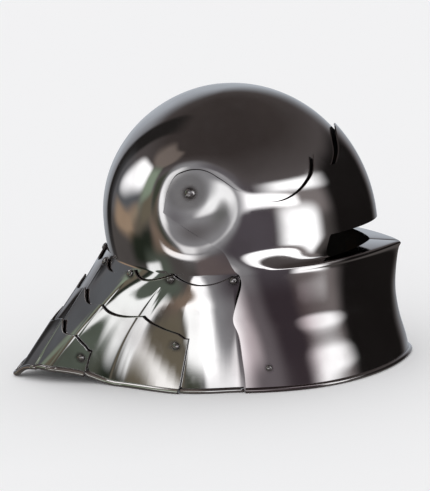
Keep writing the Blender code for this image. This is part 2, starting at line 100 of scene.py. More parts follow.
def soft_step(value, start, end):
    """Blend from 0 at the start to 1 at the end, with no jump in its bend."""
    share = np.clip((value - start) / (end - start), 0.0, 1.0)
    return share ** 3 * (share * (6.0 * share - 15.0) + 10.0)


def unit(vectors):
    """Vectors of length one."""
    return vectors / np.linalg.norm(vectors, axis=-1, keepdims=True)


def dome_rise(height, widest, lift):
    """Share of the way from the widest height up to the crown, or down to the closed bottom."""
    over = (height - widest) / (SKULL_TOP + lift - widest)
    under = (widest - height) / SKULL_TUCK
    return np.clip(np.maximum(over, under), 0.0, 1.0)


def plan_width(along):
    """Half width of the egg at a share of the way to its front (1) or its back (-1)."""
    ahead = along > WIDEST_ALONG
    share = np.abs(along - WIDEST_ALONG) / np.where(ahead, 1 - WIDEST_ALONG, 1 + WIDEST_ALONG)
    return (1 - np.minimum(share, 1.0) ** SIDE_FULLNESS) ** np.where(ahead, FRONT_POINT, REAR_POINT)


def dome(turn, height, lift):
    """Point on the bowl, or on a shell lifted off it. Turn 0 is the front and 180 degrees the back."""
    turn, height = np.broadcast_arrays(np.asarray(turn, float), np.asarray(height, float))
    along = np.cos(np.radians(turn))
    reach = np.where(along > 0, SKULL_FRONT, SKULL_REAR) + lift
    longest = np.where(along > 0, FRONT_HEIGHT, WIDEST_HEIGHT)
    x = SKULL_CENTRE + reach * np.sqrt(1 - dome_rise(height, longest, lift) ** 2) * along
    girth = (1 - dome_rise(height, WIDEST_HEIGHT, lift) ** SIDE_FULLNESS) ** (1 / SIDE_FULLNESS)
    y = (SKULL_HALF_WIDTH + lift) * girth * plan_width(along)
    away = np.hypot(x - PIVOT_X, height - PIVOT_HEIGHT)
    flat = PIVOT_HALF_WIDTH + lift
    y = flat + (y - flat) * soft_step(away, FLAT_RADIUS, FLAT_BLEND)
    return np.stack([x, np.sign(turn) * y, height], axis=-1)


def neck_height(turn):
    """Height of the crease where the skull turns out into its flange."""
    back = np.maximum(-np.cos(np.radians(turn)), 0.0)
    return NECK_HEIGHT + NECK_REAR_RISE * back ** NECK_CURVE


print("crown at", SKULL_TOP, "m")

# %% [markdown]
# The tail is a skirt of fluted plates. Each flute runs between two ribs, from a rivet at the neck to
# the rim, so the skirt is described by a count of ribs from the middle of the back and by how far
# down it a point lies. On the ribs the smith set a narrow raised band, seen as a double line.

# %% The skirt's formula
RIM_HALF_WIDTH = 0.1160
TAIL_REACH = 0.1895
RIM_RISE = 0.011
NECK_RIBS = (0.0, 1.0, 2.0, 3.0, 4.0, 5.0)
NECK_TURNS = (180.0, 168.0, 142.0, 120.0, 94.0, 70.0)
RIM_RIBS = (0.0, 0.5, 1.0, 2.0, 2.55, 3.0, 3.5, 4.0, 5.0)
RIM_ALONG = (-0.962, -0.913, -0.872, -0.800, -0.640, -0.486, -0.161, 0.125, 0.379)
RIM_ACROSS = (0.0, 0.077, 0.150, 0.243, 0.372, 0.517, 0.932, 1.0, 1.013)
RIM_LIFT = (0.0, 0.72, 0.95, 1.0, 0.66, 0.0, 0.0, 0.0, 0.0)
FLARE = (-0.05, -0.02, 0.0, -0.10, -0.36, -0.50, -0.05, 0.5, 0.6)
FLUTE = 0.0013
FLUTE_START = (0.06, 0.30)
BAND_RISE = 0.00018
BAND_HALF = 0.050
BAND_EDGE = 0.030
BAND_START = (0.10, 0.16)
LAST_BAND = 3.4


def through(stations, values, at):
    """Smooth curve through values given at rising stations."""
    stations = np.asarray(stations, float)
    values = np.asarray(values, float)
    slopes = np.gradient(values, stations)
    at = np.clip(at, stations[0], stations[-1])
    left = np.clip(np.searchsorted(stations, at, side="right") - 1, 0, len(stations) - 2)
    gap = stations[left + 1] - stations[left]
    share = (at - stations[left]) / gap
    rise = values[left + 1] - values[left]
    bend = (1 - share) * (slopes[left] * gap - rise) + share * (rise - slopes[left + 1] * gap)
    return values[left] + share * rise + share * (1 - share) * bend


def dips(rib):
    """Depth of the scallops, 0 at each rib and 1 half way between."""
    rib = np.abs(rib)
    return np.where(rib < 1.0, np.cos(rib * math.pi / 2), np.abs(np.sin((rib - 1.0) * math.pi)))


def skirt_smooth(rib, fall):
    """Point on the upper lame before its flutes, from the neck (fall 0) to the rim (1)."""
    rib, fall = np.broadcast_arrays(np.asarray(rib, float), np.asarray(fall, float))
    count = np.abs(rib)
    turn = through(NECK_RIBS, NECK_TURNS, count)
    neck = dome(turn, neck_height(turn), 0.0)
    out = np.stack([np.cos(np.radians(turn)), np.sin(np.radians(turn)), np.zeros_like(turn)], axis=-1)
    neck = neck + LAYER * out
    rim_x = TAIL_REACH * through(RIM_RIBS, RIM_ALONG, count)
    rim_y = RIM_HALF_WIDTH * through(RIM_RIBS, RIM_ACROSS, count)
    rim_z = RIM_RADIUS + RIM_RISE * np.maximum(through(RIM_RIBS, RIM_LIFT, count), 0.0)
    flare = fall + through(RIM_RIBS, FLARE, count) * (fall * fall - fall)
    x = neck[..., 0] + (rim_x - neck[..., 0]) * flare
    y = neck[..., 1] + (rim_y - neck[..., 1]) * flare
    z = neck[..., 2] + (rim_z - neck[..., 2]) * fall
    return np.stack([x, np.where(rib < 0, -y, y), z], axis=-1)


def skirt(rib, fall, lift, band=0.0):
    """Point on the fluted skirt lifted off the upper lame's face, with its outward normal."""
    step = 0.002
    rib, fall = np.broadcast_arrays(np.asarray(rib, float), np.asarray(fall, float))
    along = skirt_smooth(rib + step, fall) - skirt_smooth(rib - step, fall)
    down = skirt_smooth(rib, fall + step) - skirt_smooth(rib, fall - step)
    normal = unit(np.cross(along, down))
    flute = FLUTE * dips(rib) * smooth_step(fall, *FLUTE_START)
    beside = np.where(np.abs(rib) > LAST_BAND, 1.0, np.abs(rib - np.round(rib)))
    raised = band * (1 - smooth_step(beside, BAND_HALF, BAND_HALF + BAND_EDGE))
    rise = lift - flute + raised * smooth_step(fall, *BAND_START)
    return skirt_smooth(rib, fall) + rise[..., None] * normal, normal


print("tail reaches", TAIL_REACH, "m behind the middle")

# %% [markdown]
# A fine plate is a grid of points on its outer face, the same grid moved in by the thickness, and a
# strip that closes it all round. It could be a Solidify modifier, but then the slot and the lapped
# ends could not be shaped one by one. Two materials go on: polished steel outside, dark steel inside.

# %% Plates from grids
MIDDLE = np.array((0.03, 0.0, 0.08))
SHARP_FROM = math.radians(50)
CUT_FROM = math.radians(60)
EDGE_ROUND = 0.0004


def placed(name, data):
    """New object of the scene, with a mesh, a light or a camera as its data."""
    thing = bpy.data.objects.new(name, data)
    bpy.context.scene.collection.objects.link(thing)
    return thing


def plate_object(name, outer, inner, materials, present=None, ring=False, crown=None):
    """Closed plate between two grids of points, with rows from the top down.

    Cells that aren't present leave an opening, a ring closes on itself, and a crown is a pair of
    points that closes the top row.
    """
    rows, columns = outer.shape[:2]
    count = rows * columns
    points = np.concatenate([outer.reshape(-1, 3), inner.reshape(-1, 3)])
    spans = columns if ring else columns - 1
    here = np.ones((rows - 1, spans), bool) if present is None else present
    faces = []
    looks = []
    edges = {}
    for row, column in np.argwhere(here):
        beside = (column + 1) % columns
        corners = (row * columns + column, row * columns + beside,
                   (row + 1) * columns + beside, (row + 1) * columns + column)
        faces.append(corners)
        faces.append(tuple(corner + count for corner in reversed(corners)))
        looks += [0, 1]
        for start, end in zip(corners, corners[1:] + corners[:1]):
            if (end, start) in edges:
                del edges[(end, start)]
            else:
                edges[(start, end)] = True
    top = set(range(columns)) if crown is not None else set()
    for start, end in edges:
        if start in top and end in top:
            continue
        faces.append((end, start, start + count, end + count))
        looks.append(0)
    if crown is not None:
        points = np.concatenate([points, np.array(crown)])
        for column in range(columns):
            beside = (column + 1) % columns
            faces.append((2 * count, beside, column))
            faces.append((2 * count + 1, count + column, count + beside))
            looks += [0, 1]
    used = np.unique(np.concatenate([np.array(face) for face in faces]))
    place = np.full(len(points), -1)
    place[used] = np.arange(len(used))
    mesh = bpy.data.meshes.new(name)
    faces = [[int(place[corner]) for corner in face] for face in faces]
    mesh.from_pydata(points[used].tolist(), [], faces)
    for material in materials:
        mesh.materials.append(material)
    mesh.polygons.foreach_set("material_index", looks)
    face_outward(mesh)
    mesh.shade_smooth()
    mesh.set_sharp_from_angle(angle=SHARP_FROM)
    mesh.update()
    return placed(name, mesh)


def soften_edges(thing):
    """Fine rounding on a plate's cut edges, so that they catch the light."""
    bevel = thing.modifiers.new("Edge", "BEVEL")
    bevel.width = EDGE_ROUND
    bevel.segments = 2
    bevel.limit_method = "ANGLE"
    bevel.angle_limit = CUT_FROM
    return thing


def face_outward(mesh):
    """Turns the faces of a closed mesh over where they face inward."""
    solid = bmesh.new()
    solid.from_mesh(mesh)
    if solid.calc_volume(signed=True) < 0:
        mesh.flip_normals()
    solid.free()


def finer(stations, parts):
    """Each gap of a row of stations cut into equal parts."""
    stations = np.asarray(stations, float)
    steps = np.linspace(0, len(stations) - 1, (len(stations) - 1) * parts + 1)
    return np.interp(steps, np.arange(len(stations)), stations)


def grid_normals(grid, ring=False):
    """Outward normals of a grid of points, which go away from the middle of the helmet."""
    if ring:
        along = np.roll(grid, -1, axis=1) - np.roll(grid, 1, axis=1)
    else:
        along = np.gradient(grid, axis=1)
    normals = unit(np.cross(np.gradient(grid, axis=0), along))
    return normals * np.sign(np.sum(normals * (grid - MIDDLE)))


print("plate tools ready")

# %% [markdown]
# Shader and geometry trees are easier to read as sums than as rows of nodes. One small class wraps a
# socket, so that an expression such as 1 - mask * 0.5 adds its own Math nodes.

# %% Sums as nodes
class Sum:
    """A socket of a node tree that can be used in a plain expression."""

    def __init__(self, nodes, socket):
        self.nodes = nodes
        self.socket = socket

    def maths(self, operation, first, second=None):
        """Math node of one or two values."""
        values = [value for value in (first, second) if value is not None]
        return self.nodes.make("ShaderNodeMath", {"operation": operation}, dict(enumerate(values)))

    def __add__(self, other):
        return self.maths("ADD", self, other)

    def __sub__(self, other):
        return self.maths("SUBTRACT", self, other)

    def __rsub__(self, other):
        return self.maths("SUBTRACT", other, self)

    def __mul__(self, other):
        return self.maths("MULTIPLY", self, other)

    def __truediv__(self, other):
        return self.maths("DIVIDE", self, other)

    def __pow__(self, other):
        return self.maths("POWER", self, other)

    __radd__ = __add__
    __rmul__ = __mul__

    def one(self, operation, other=None):
        """Math operation of this value, with another where it takes one."""
        return self.maths(operation, self, other)

    def step(self, start, end):
        """Smooth blend from 0 at the start to 1 at the end."""
        return self.nodes.make("ShaderNodeMapRange", {"interpolation_type": "SMOOTHSTEP"},
                               {"Value": self, "From Min": start, "From Max": end})


class Nodes:
    """A node tree with one way to add any node, and short ways for the nodes used most."""

    def __init__(self, tree):
        self.tree = tree

    def make(self, kind, settings=None, inputs=None, output=0):
        """Node of a kind, with its settings first and then its values or links."""
        node = self.tree.nodes.new(kind)
        for name, value in (settings or {}).items():
            if name == "stops":
                ramp = node.color_ramp
                while len(ramp.elements) < len(value):
                    ramp.elements.new(0.5)
                for element, (place, color) in zip(ramp.elements, value):
                    element.position = place
                    element.color = (*color, 1.0)
            else:
                setattr(node, name, value)
        self.fill(node, inputs or {})
        return Sum(self, node.outputs[output])

    def put(self, socket, value):
        """Link or value on a socket."""
        if isinstance(value, Sum):
            self.tree.links.new(value.socket, socket)
        else:
            socket.default_value = value

    def fill(self, node, values):
        """Links or values on the inputs of a node, by their names."""
        for name, value in values.items():
            self.put(node.inputs[name], value)

    def mix(self, share, first, second):
        """Colour between a first one, at 0, and a second one, at 1."""
        first, second = (color if isinstance(color, Sum) else (*color, 1.0) for color in (first, second))
        return self.make("ShaderNodeMix", {"data_type": "RGBA"},
                         {0: share, 6: first, 7: second}, output=2)

    def noise(self, place, scale, detail, roughness=0.5):
        """Noise over a place."""
        return self.make("ShaderNodeTexNoise", None, {
            "Vector": place, "Scale": scale, "Detail": detail, "Roughness": roughness})

    def bump(self, strength, distance, height, **under):
        """Normal bent by a height."""
        return self.make("ShaderNodeBump", None, {
            "Strength": strength, "Distance": distance, "Height": height, **under})

    def parts(self, vector):
        """The three values of a vector."""
        node = self.make("ShaderNodeSeparateXYZ", None, {0: vector}).socket.node
        return [Sum(self, output) for output in node.outputs]


def new_material(name, viewport):
    """Material with an empty tree and a Principled shader."""
    material = bpy.data.materials.new(name)
    material.use_nodes = True
    material.diffuse_color = (*viewport, 1.0)
    nodes = Nodes(material.node_tree)
    shader = material.node_tree.nodes["Principled BSDF"]
    return material, nodes, shader


print("node sums ready")

# %% [markdown]
# Polished steel has almost no colour of its own: what is seen in it is the room. What makes it steel
# and not chrome is a faint warmth and greyness that drifts over the plate, the haze of finger marks,
# hairlines from the polishing wheel, and the slow waves that planishing leaves in the surface. A dark
# reflection is painted on the visor's cheek, and a darker reflection in a rougher disc round the pivot,
# where the lobe turns. Painted shade, with grime, darkens the corner round each rivet head.

# %% Polished steel
STEEL_LIGHT = (0.68, 0.675, 0.68)
STEEL_DARK = (0.54, 0.525, 0.53)
# Painted dark reflection on the visor's cheek, on both sides, laid by the plate's x and z.
CHEEK_REFLECTION_TONE = (0.24, 0.185, 0.20)
# Painted shade, with grime, in the corner round each rivet head.
SHADE_AND_GRIME_TONE = (0.07, 0.06, 0.06)
# Painted darker reflection in a disc round the visor's pivot, which is also made rougher.
PIVOT_REFLECTION_TONE = (0.42, 0.41, 0.41)
PIVOT_REFLECTION_PLACE = (-0.0145, 0.192)
PIVOT_REFLECTION_RADIUS = 0.019
CHEEK_REFLECTION_SHARE = 0.8
SHADE_AND_GRIME_SHARE = 0.8
PIVOT_REFLECTION_SHARE = 0.9
CHEEK_REFLECTION_ALONG = ((0.010, 0.040), (0.085, 0.115))
CHEEK_REFLECTION_BELOW = (0.085, 0.125)
POLISH = 0.045
HAZE = 0.075
HAIR_ROUGHNESS = 0.05
GRIME_ROUGHNESS = 0.20
PIVOT_DISC_ROUGHNESS = 0.06
HAIR_TURN = (0.2, 0.5, 0.0)
HAIR_STRETCH = (60, 60, 2600)
HAIR_DEPTH = 0.00001
WAVE_DEPTH = 0.00030


def polished_steel(name):
    """Mirror-polished plate with haze, hairlines and the slow waves of hammer work."""
    material, nodes, shader = new_material(name, STEEL_LIGHT)
    place = nodes.make("ShaderNodeTexCoord", output="Object")
    x, _, z = nodes.parts(place)
    stretched = nodes.make("ShaderNodeMapping", None, {
        "Vector": place, "Rotation": HAIR_TURN, "Scale": HAIR_STRETCH})
    hair = nodes.noise(stretched, 1.0, 2.0)
    smears = nodes.noise(place, 55.0, 5.0, 0.6).step(0.45, 0.75)
    drift = nodes.noise(place, 14.0, 3.0).step(0.35, 0.70)
    # Painted dark reflection on the visor's cheek.
    cheek = x.step(*CHEEK_REFLECTION_ALONG[0]) * (1.0 - x.step(*CHEEK_REFLECTION_ALONG[1])) * (1.0 - z.step(*CHEEK_REFLECTION_BELOW))
    # Painted darker reflection, with more roughness, in a disc round the pivot.
    away = ((x - PIVOT_REFLECTION_PLACE[0]) ** 2.0 + (z - PIVOT_REFLECTION_PLACE[1]) ** 2.0) ** 0.5
    pivot_disc = 1.0 - away.step(0.75 * PIVOT_REFLECTION_RADIUS, 1.25 * PIVOT_REFLECTION_RADIUS)
    # Painted shade, with grime, round each rivet head: darker and rougher there.
    grime = nodes.make("ShaderNodeAttribute", {"attribute_name": "grime"}, output="Fac")
    color = nodes.mix(drift, STEEL_LIGHT, STEEL_DARK)
    color = nodes.mix(CHEEK_REFLECTION_SHARE * cheek, color, CHEEK_REFLECTION_TONE)
    color = nodes.mix(PIVOT_REFLECTION_SHARE * pivot_disc, color, PIVOT_REFLECTION_TONE)
    color = nodes.mix(SHADE_AND_GRIME_SHARE * grime, color, SHADE_AND_GRIME_TONE)
    rough = POLISH + HAZE * smears + HAIR_ROUGHNESS * hair.step(0.60, 0.75)
    rough = rough + GRIME_ROUGHNESS * grime + PIVOT_DISC_ROUGHNESS * pivot_disc
    waves = nodes.bump(1.0, WAVE_DEPTH, nodes.noise(place, 22.0, 0.0))
    nodes.fill(shader, {"Base Color": color, "Roughness": rough, "Metallic": 1.0,
                        "Normal": nodes.bump(0.25, HAIR_DEPTH, hair, Normal=waves)})
    return material


INSIDE_TONE = (0.09, 0.08, 0.08)
INSIDE_STOPS = ((0.30, (0.030, 0.028, 0.030)), (0.55, (0.060, 0.054, 0.052)),
                (0.78, (0.120, 0.075, 0.050)))


def inner_steel(name):
    """Inside of the plates: left from the forge, brown-black, with a little rust."""
    material, nodes, shader = new_material(name, INSIDE_TONE)
    place = nodes.make("ShaderNodeTexCoord", output="Object")
    scale = nodes.noise(place, 38.0, 6.0)
    color = nodes.make("ShaderNodeValToRGB", {"stops": INSIDE_STOPS}, {"Fac": scale})
    nodes.fill(shader, {"Base Color": color, "Roughness": 0.48 + 0.25 * scale, "Metallic": 0.7,
                        "Normal": nodes.bump(0.5, 0.0003, nodes.noise(place, 420.0, 3.0))})
    return material


PLATES = polished_steel("polished_steel")
INSIDE = inner_steel("forge_dark_steel")
print("materials:", PLATES.name, INSIDE.name)

# %% [markdown]
# The skull goes first, since all the rest hangs on it. Its rows are cut by angle from the crown to
# the widest height and by share from there to the edge, and its last rows turn out into the flange
# that the tail is riveted to.

# %% Skull
SKULL_COLUMNS = 336
CROWN_POLAR = 2.5
WIDE_POLAR = 80.0
CROWN_ROWS = 46
SIDE_ROWS = 26
FLANGE_ROWS = (0.05, 0.12, 0.20, 0.30, 0.45, 0.6, 0.8, 1.0)


def skull_plate():
    """Fine skull over its solid."""
    turn = np.linspace(-180.0, 180.0, SKULL_COLUMNS, endpoint=False)
    size = np.abs(turn)
    low = neck_height(turn)
    edge = BROW_EDGE + (low - BROW_EDGE) * smooth_step(size, *FACE_TURN)
    polar = np.radians(np.linspace(CROWN_POLAR, WIDE_POLAR, CROWN_ROWS))
    heights = WIDEST_HEIGHT + (SKULL_TOP - WIDEST_HEIGHT) * np.cos(polar)
    outer = [dome(turn, height, 0.0) for height in heights]
    for share in np.linspace(0.0, 1.0, SIDE_ROWS + 1)[1:]:
        outer.append(dome(turn, heights[-1] + (edge - heights[-1]) * share, 0.0))
    rib = np.interp(size, NECK_TURNS[::-1], NECK_RIBS[::-1]) * np.where(turn < 0, -1.0, 1.0)
    flange = smooth_step(size, *FLANGE_TURN)[:, None]
    for share in FLANGE_ROWS:
        out, _ = skirt(rib, share * FLANGE_FALL, -LAYER)
        plain = dome(turn, edge - BROW_TURN_IN * share, 0.0)
        outer.append(plain + (out - plain) * flange)
    outer = np.array(outer)
    inner = outer - PLATE * grid_normals(outer, ring=True)
    crown = ((SKULL_CENTRE, 0.0, SKULL_TOP), (SKULL_CENTRE, 0.0, SKULL_TOP - PLATE))
    return plate_object("skull_plate", outer, inner, (PLATES, INSIDE), ring=True, crown=crown)


skull = soften_edges(skull_plate())
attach(skull, "shell")
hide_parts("skull")
print("skull faces:", len(skull.data.polygons))

# %% [markdown]
# The visor is the hardest plate. Its upper half lies on the skull's own formula, lifted by the
# working gap. Its lower half is a stack of sections, from the rolled rim up over the face to a sharp
# ledge, and the eye slot is the row of the grid that is left out between the two.

# %% Visor sizes
SLOT_SHARE = 0.50
SLOT_ROUNDING = 0.016
SLOT_ROUND_REACH = 0.03
BROW_HEIGHT = 0.1335
BROW_RISE = 0.0035
BROW_REAR_TURN = 99.0
LEDGE_HEIGHT = 0.1073
LEDGE_REACH = 0.1853
VISOR_HALF_WIDTH = 0.1220
VISOR_REAR_REACH = 0.140
VISOR_REAR = 0.0300
VISOR_REAR_POINT = 0.50
VISOR_REAR_CURVE = 0.7

# Sections from the ledge's root down to the rim: height front, height rear, reach, half width,
# point of the front, middle, rear edge, all as shares of the sizes above.
VISOR_SECTIONS = (
    (1.036, 1.080, 0.843, 0.889, 0.72, 1.10, 0.83),
    (1.012, 1.060, 0.950, 0.890, 0.82, 1.10, 0.88),
    (1.000, 1.045, 0.992, 0.891, 0.89, 1.10, 0.94),
    (0.982, 1.025, 1.000, 0.892, 0.91, 1.10, 1.00),
    (0.960, 1.000, 0.993, 0.893, 0.91, 1.12, 1.02),
    (0.880, 0.900, 0.980, 0.900, 0.88, 1.25, 1.00),
    (0.680, 0.660, 0.963, 0.915, 0.80, 1.50, 0.72),
    (0.500, 0.520, 0.962, 0.930, 0.74, 1.70, 0.84),
    (0.320, 0.330, 0.977, 0.953, 0.70, 1.85, 0.92),
    (0.170, 0.170, 0.998, 0.977, 0.67, 1.95, 0.96),
    (0.042, 0.042, 1.010, 1.000, 0.65, 2.00, 0.97),
)

# Top edge: share of the way round, turn in degrees, height as a share of SKULL_TOP. It has a cusp
# each side of the brow.
VISOR_TOP_EDGE = (
    (0.000, 0.0, 0.842),
    (0.080, 8.0, 0.836),
    (0.140, 14.0, 0.824),
    (0.190, 19.5, 0.806),
    (0.240, 25.5, 0.776),
    (0.290, 31.0, 0.752),
    (0.340, 35.0, 0.738),
    (0.390, 40.5, 0.742),
    (0.440, 46.8, 0.786),
    (0.470, 51.0, 0.734),
    (0.505, 55.8, 0.703),
    (0.560, 64.0, 0.667),
    (0.620, 72.2, 0.653),
    (0.680, 79.2, 0.666),
    (0.740, 85.8, 0.694),
    (0.780, 90.5, 0.710),
    (0.835, 97.2, 0.749),
    (0.880, 103.5, 0.779),
    (0.910, 108.5, 0.788),
    (0.940, 114.5, 0.784),
    (0.965, 119.5, 0.764),
    (0.985, 121.8, 0.710),
    (1.000, 122.8, 0.645),
)
EDGE_CUSPS = (0.440,)

# Shares of the way round at which the grid's columns stand, each gap then cut in six, and the count of
# its rows above the slot, beside it and below it.
VISOR_MARKS = (0.0, 0.05, 0.10, 0.15, 0.20, 0.25, 0.30, 0.35, 0.39, 0.44, 0.47, SLOT_SHARE,
               0.53, 0.56, 0.62, 0.68, 0.75, 0.82, 0.88, 0.92, 0.95, 0.98, 1.0)
VISOR_ROWS = (37, 9, 81)
print("visor sections:", len(VISOR_SECTIONS))

# %% [markdown]
# The visor's outline is a cut edge, so the grid's top row follows it and the rows below fan out to the
# brow. A bridge of rows beside the slot joins the two halves in one smooth curve. It could be
# sculpted, but a formula keeps the plate exactly over its solid, where the hinge needs it.

# %% Visor surface
def spline(values, at):
    """Curve of even bend through values at 0, 1, 2 and so on."""
    values = np.asarray(values, float)
    count = len(values)
    beside = np.ones(count - 1)
    system = np.diag(np.full(count, 4.0)) + np.diag(beside, 1) + np.diag(beside, -1)
    system[0, :2] = (1.0, 0.0)
    system[-1, -2:] = (0.0, 1.0)
    bends = np.zeros(count)
    bends[1:-1] = 6 * (values[2:] - 2 * values[1:-1] + values[:-2])
    bends = np.linalg.solve(system, bends)
    left = np.clip(np.floor(at).astype(int), 0, count - 2)
    near = at - left
    far = 1 - near
    return (far * values[left] + near * values[left + 1]
            + ((far ** 3 - far) * bends[left] + (near ** 3 - near) * bends[left + 1]) / 6)


def edge_curve(size, column):
    """Turn (column 1) or height (2) of the top edge, smooth between its cusps."""
    table = np.array(VISOR_TOP_EDGE)
    value = np.zeros_like(size)
    limits = [0.0, *EDGE_CUSPS, 1.0]
    for start, end in zip(limits, limits[1:]):
        part = table[(table[:, 0] >= start) & (table[:, 0] <= end)]
        here = (size >= start) & (size <= end)
        value[here] = through(part[:, 0], part[:, column], size[here])
    return value


def visor_upper(share, climb):
    """Point above the slot, from the brow (climb 0) to the top edge (1)."""
    size = np.abs(share)
    turn = BROW_REAR_TURN * size
    turn = turn + (edge_curve(size, 1) - turn) * climb
    height = BROW_HEIGHT + BROW_RISE * size
    height = height + (SKULL_TOP * edge_curve(size, 2) - height) * climb
    return dome(np.sign(share) * turn, height, VISOR_LIFT)


def visor_section(share, station):
    """Row of points at a station of the lower sections, 0 at the ledge's root."""
    row = [float(spline(column, np.array([station]))[0]) for column in np.array(VISOR_SECTIONS).T]
    front, rear, reach, width, point, middle, edge = row
    centre = VISOR_REAR * middle
    front_reach = LEDGE_REACH * reach - centre
    offset = VISOR_REAR * edge - centre
    last = math.degrees(math.acos(offset / (front_reach if offset > 0 else VISOR_REAR_REACH)))
    along = np.cos(np.radians(last * np.abs(share)))
    x = centre + np.where(along > 0, front_reach, VISOR_REAR_REACH) * along
    power = np.where(along > 0, point, VISOR_REAR_POINT)
    y = VISOR_HALF_WIDTH * width * (1 - np.abs(along) ** SIDE_FULLNESS) ** power
    z = LEDGE_HEIGHT * (front + (rear - front) * np.abs(share) ** VISOR_REAR_CURVE)
    return np.stack([x, np.sign(share) * y, z], axis=-1)


def mirrored(values):
    """Values from the front of the right side round the back to the front of the left side."""
    values = np.asarray(values, float)
    return np.concatenate([-values[::-1], values[1:]])


def slot_rounding(share, step):
    """Row of the bridge beside the slot, which curves in from the brow (step 0) to the ledge (1)."""
    push = SLOT_ROUNDING * math.sqrt(4 * step * (1 - step))
    near = np.exp(-((np.abs(share) - SLOT_SHARE) / SLOT_ROUND_REACH) ** 2)
    moved = share + np.sign(share) * push * near
    top, over = visor_upper(moved, 0.0), visor_upper(moved, 0.02)
    low, under = visor_section(moved, 0.0), visor_section(moved, 0.05)
    span = np.linalg.norm(low - top, axis=-1, keepdims=True)
    lead, tail = unit(top - over) * span, unit(under - low) * span
    return ((2 * step ** 3 - 3 * step ** 2 + 1) * top + (step ** 3 - 2 * step ** 2 + step) * lead
            + (3 * step ** 2 - 2 * step ** 3) * low + (step ** 3 - step ** 2) * tail)


def visor_plate():
    """Fine visor over its solid, with a bridge of rows beside the slot, and its outer grid."""
    share = mirrored(finer(VISOR_MARKS, 6))
    above, beside, below = VISOR_ROWS
    outer = [visor_upper(share, climb) for climb in np.linspace(1.0, 0.0, above)]
    outer += [slot_rounding(share, step) for step in np.linspace(0, 1, beside + 2)[1:-1]]
    stations = np.linspace(0, len(VISOR_SECTIONS) - 1, below)
    outer = np.array(outer + [visor_section(share, station) for station in stations])
    inner = outer - PLATE * grid_normals(outer)
    middle = np.abs((share[1:] + share[:-1]) / 2)
    present = np.ones((len(outer) - 1, len(middle)), bool)
    present[above - 1:above + beside] = middle > SLOT_SHARE
    return plate_object("visor_plate", outer, inner, (PLATES, INSIDE), present), outer


visor, visor_grid = visor_plate()
soften_edges(visor)
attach(visor, "visor")
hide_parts("visor")
print("visor faces:", len(visor.data.polygons))

# %% [markdown]
# The three lames overlap like tiles, each outside the one above it. Their top edges are cut in
# scallops that peak on the ribs. The columns crowd together at each rib, where the band stands.

# %% Lame sizes
UPPER_TOP = ((0.0, 1.0, 2.0, 3.0, 4.0, 5.0), (0.012, 0.012, 0.012, 0.012, 0.012, 0.020))
MIDDLE_TOP = ((0.0, 1.0, 2.0, 3.0, 3.12, 3.25, 3.38, 3.44),
              (0.265, 0.300, 0.365, 0.390, 0.445, 0.485, 0.515, 0.550))
LOWER_TOP = ((0.0, 1.0, 2.0, 2.35, 2.45), (0.545, 0.590, 0.670, 0.755, 0.790))
UPPER_DIP = 0.078
MIDDLE_DIP = 0.060
LOWER_DIP = 0.052
OVERLAP = 0.13
MIDDLE_END = 3.475
LOWER_END = (2.50, 2.56)
UPPER_ROLL = (MIDDLE_END + 0.016, 4.05)
MIDDLE_ROLL = (LOWER_END[1] + 0.030, math.inf)
UPPER_HEM = (0.97, 3.1, 3.36)
MIDDLE_HEM = (0.95, 2.1, 2.4)
ROLL_MARK = 0.004
LAME_ROWS = (42, 38, 30)
RIB_MARKS = (0.0, 0.02, 0.04, 0.05, 0.06, 0.07, 0.08, 0.10, 0.14, 0.19, 0.25, 0.31, 0.375, 0.44, 0.5)


def rib_columns(extra, last):
    """Counts of ribs for the columns, close together at each rib, with extra ones for an end."""
    marks = [rib + side * mark for rib in range(6) for mark in RIB_MARKS for side in (-1, 1)]
    marks = np.unique(np.round(np.concatenate([marks, extra, [last]]), 5))
    return mirrored(marks[(marks >= 0) & (marks <= last)])


def top_edge(table, dip, ribs, last_dip):
    """Scalloped top edge, with no dips in front of the last one."""
    size = np.abs(ribs)
    return np.interp(size, *table) + dip * dips(ribs) * (size <= last_dip)


def rim_drop(radius):
    """How far the roll's centre lies below the end of the plate's outer face."""
    return np.sqrt(np.maximum(radius ** 2 - (radius - PLATE) ** 2, 0.0))


def rim_fall(rib, lift, radius):
    """Way down the skirt at which the underside of the roll meets its height."""
    lowest = RIM_RISE * np.maximum(through(RIM_RIBS, RIM_LIFT, np.abs(rib)), 0.0)
    fall = np.ones_like(rib)
    step = 0.01
    for _ in range(6):
        point, normal = skirt(rib, fall, lift)
        before, _ = skirt(rib, fall - step, lift)
        down = unit(point - before)
        centre = point[:, 2] + (radius - PLATE) * normal[:, 2] + rim_drop(radius) * down[:, 2]
        fall = fall + (centre - radius - lowest) / ((before[:, 2] - point[:, 2]) / step)
    return fall


def lame_plate(name, ribs, top, bottom, lift, rows, ends=None):
    """Fine lame over its solid, and its outer grid."""
    outer = []
    normals = []
    for share in np.linspace(0.0, 1.0, rows):
        across = ribs if ends is None else ends(ribs, share)
        point, normal = skirt(across, top + (bottom - top) * share, lift, BAND_RISE)
        outer.append(point)
        normals.append(normal)
    outer = np.array(outer)
    inner = outer - PLATE * np.array(normals)
    return plate_object(name, outer, inner, (PLATES, INSIDE)), outer


print("scallops dip by", MIDDLE_DIP, "of the skirt")

# %% [markdown]
# Each lame is cut from the same skirt. It starts at its scallops and ends either hidden under the
# next lame or at the rim. What differs is its ends, so each lame has its own short function.

# %% Three lames
def lapped_bottom(ribs, lift, roll, below, hem):
    """Bottom edge: hidden under the next lame, down to a hem beside the roll, then the roll."""
    start, stop = roll
    size = np.abs(ribs)
    rolled = (size > start) & (size < stop)
    radius = np.where(rolled, RIM_RADIUS, PLATE / 2)
    hidden = np.interp(size, *below) + OVERLAP
    hidden = hidden + (hem[0] - hidden) * smooth_step(size, *hem[1:])
    return np.where(size > start, rim_fall(ribs, lift, radius), hidden), rolled


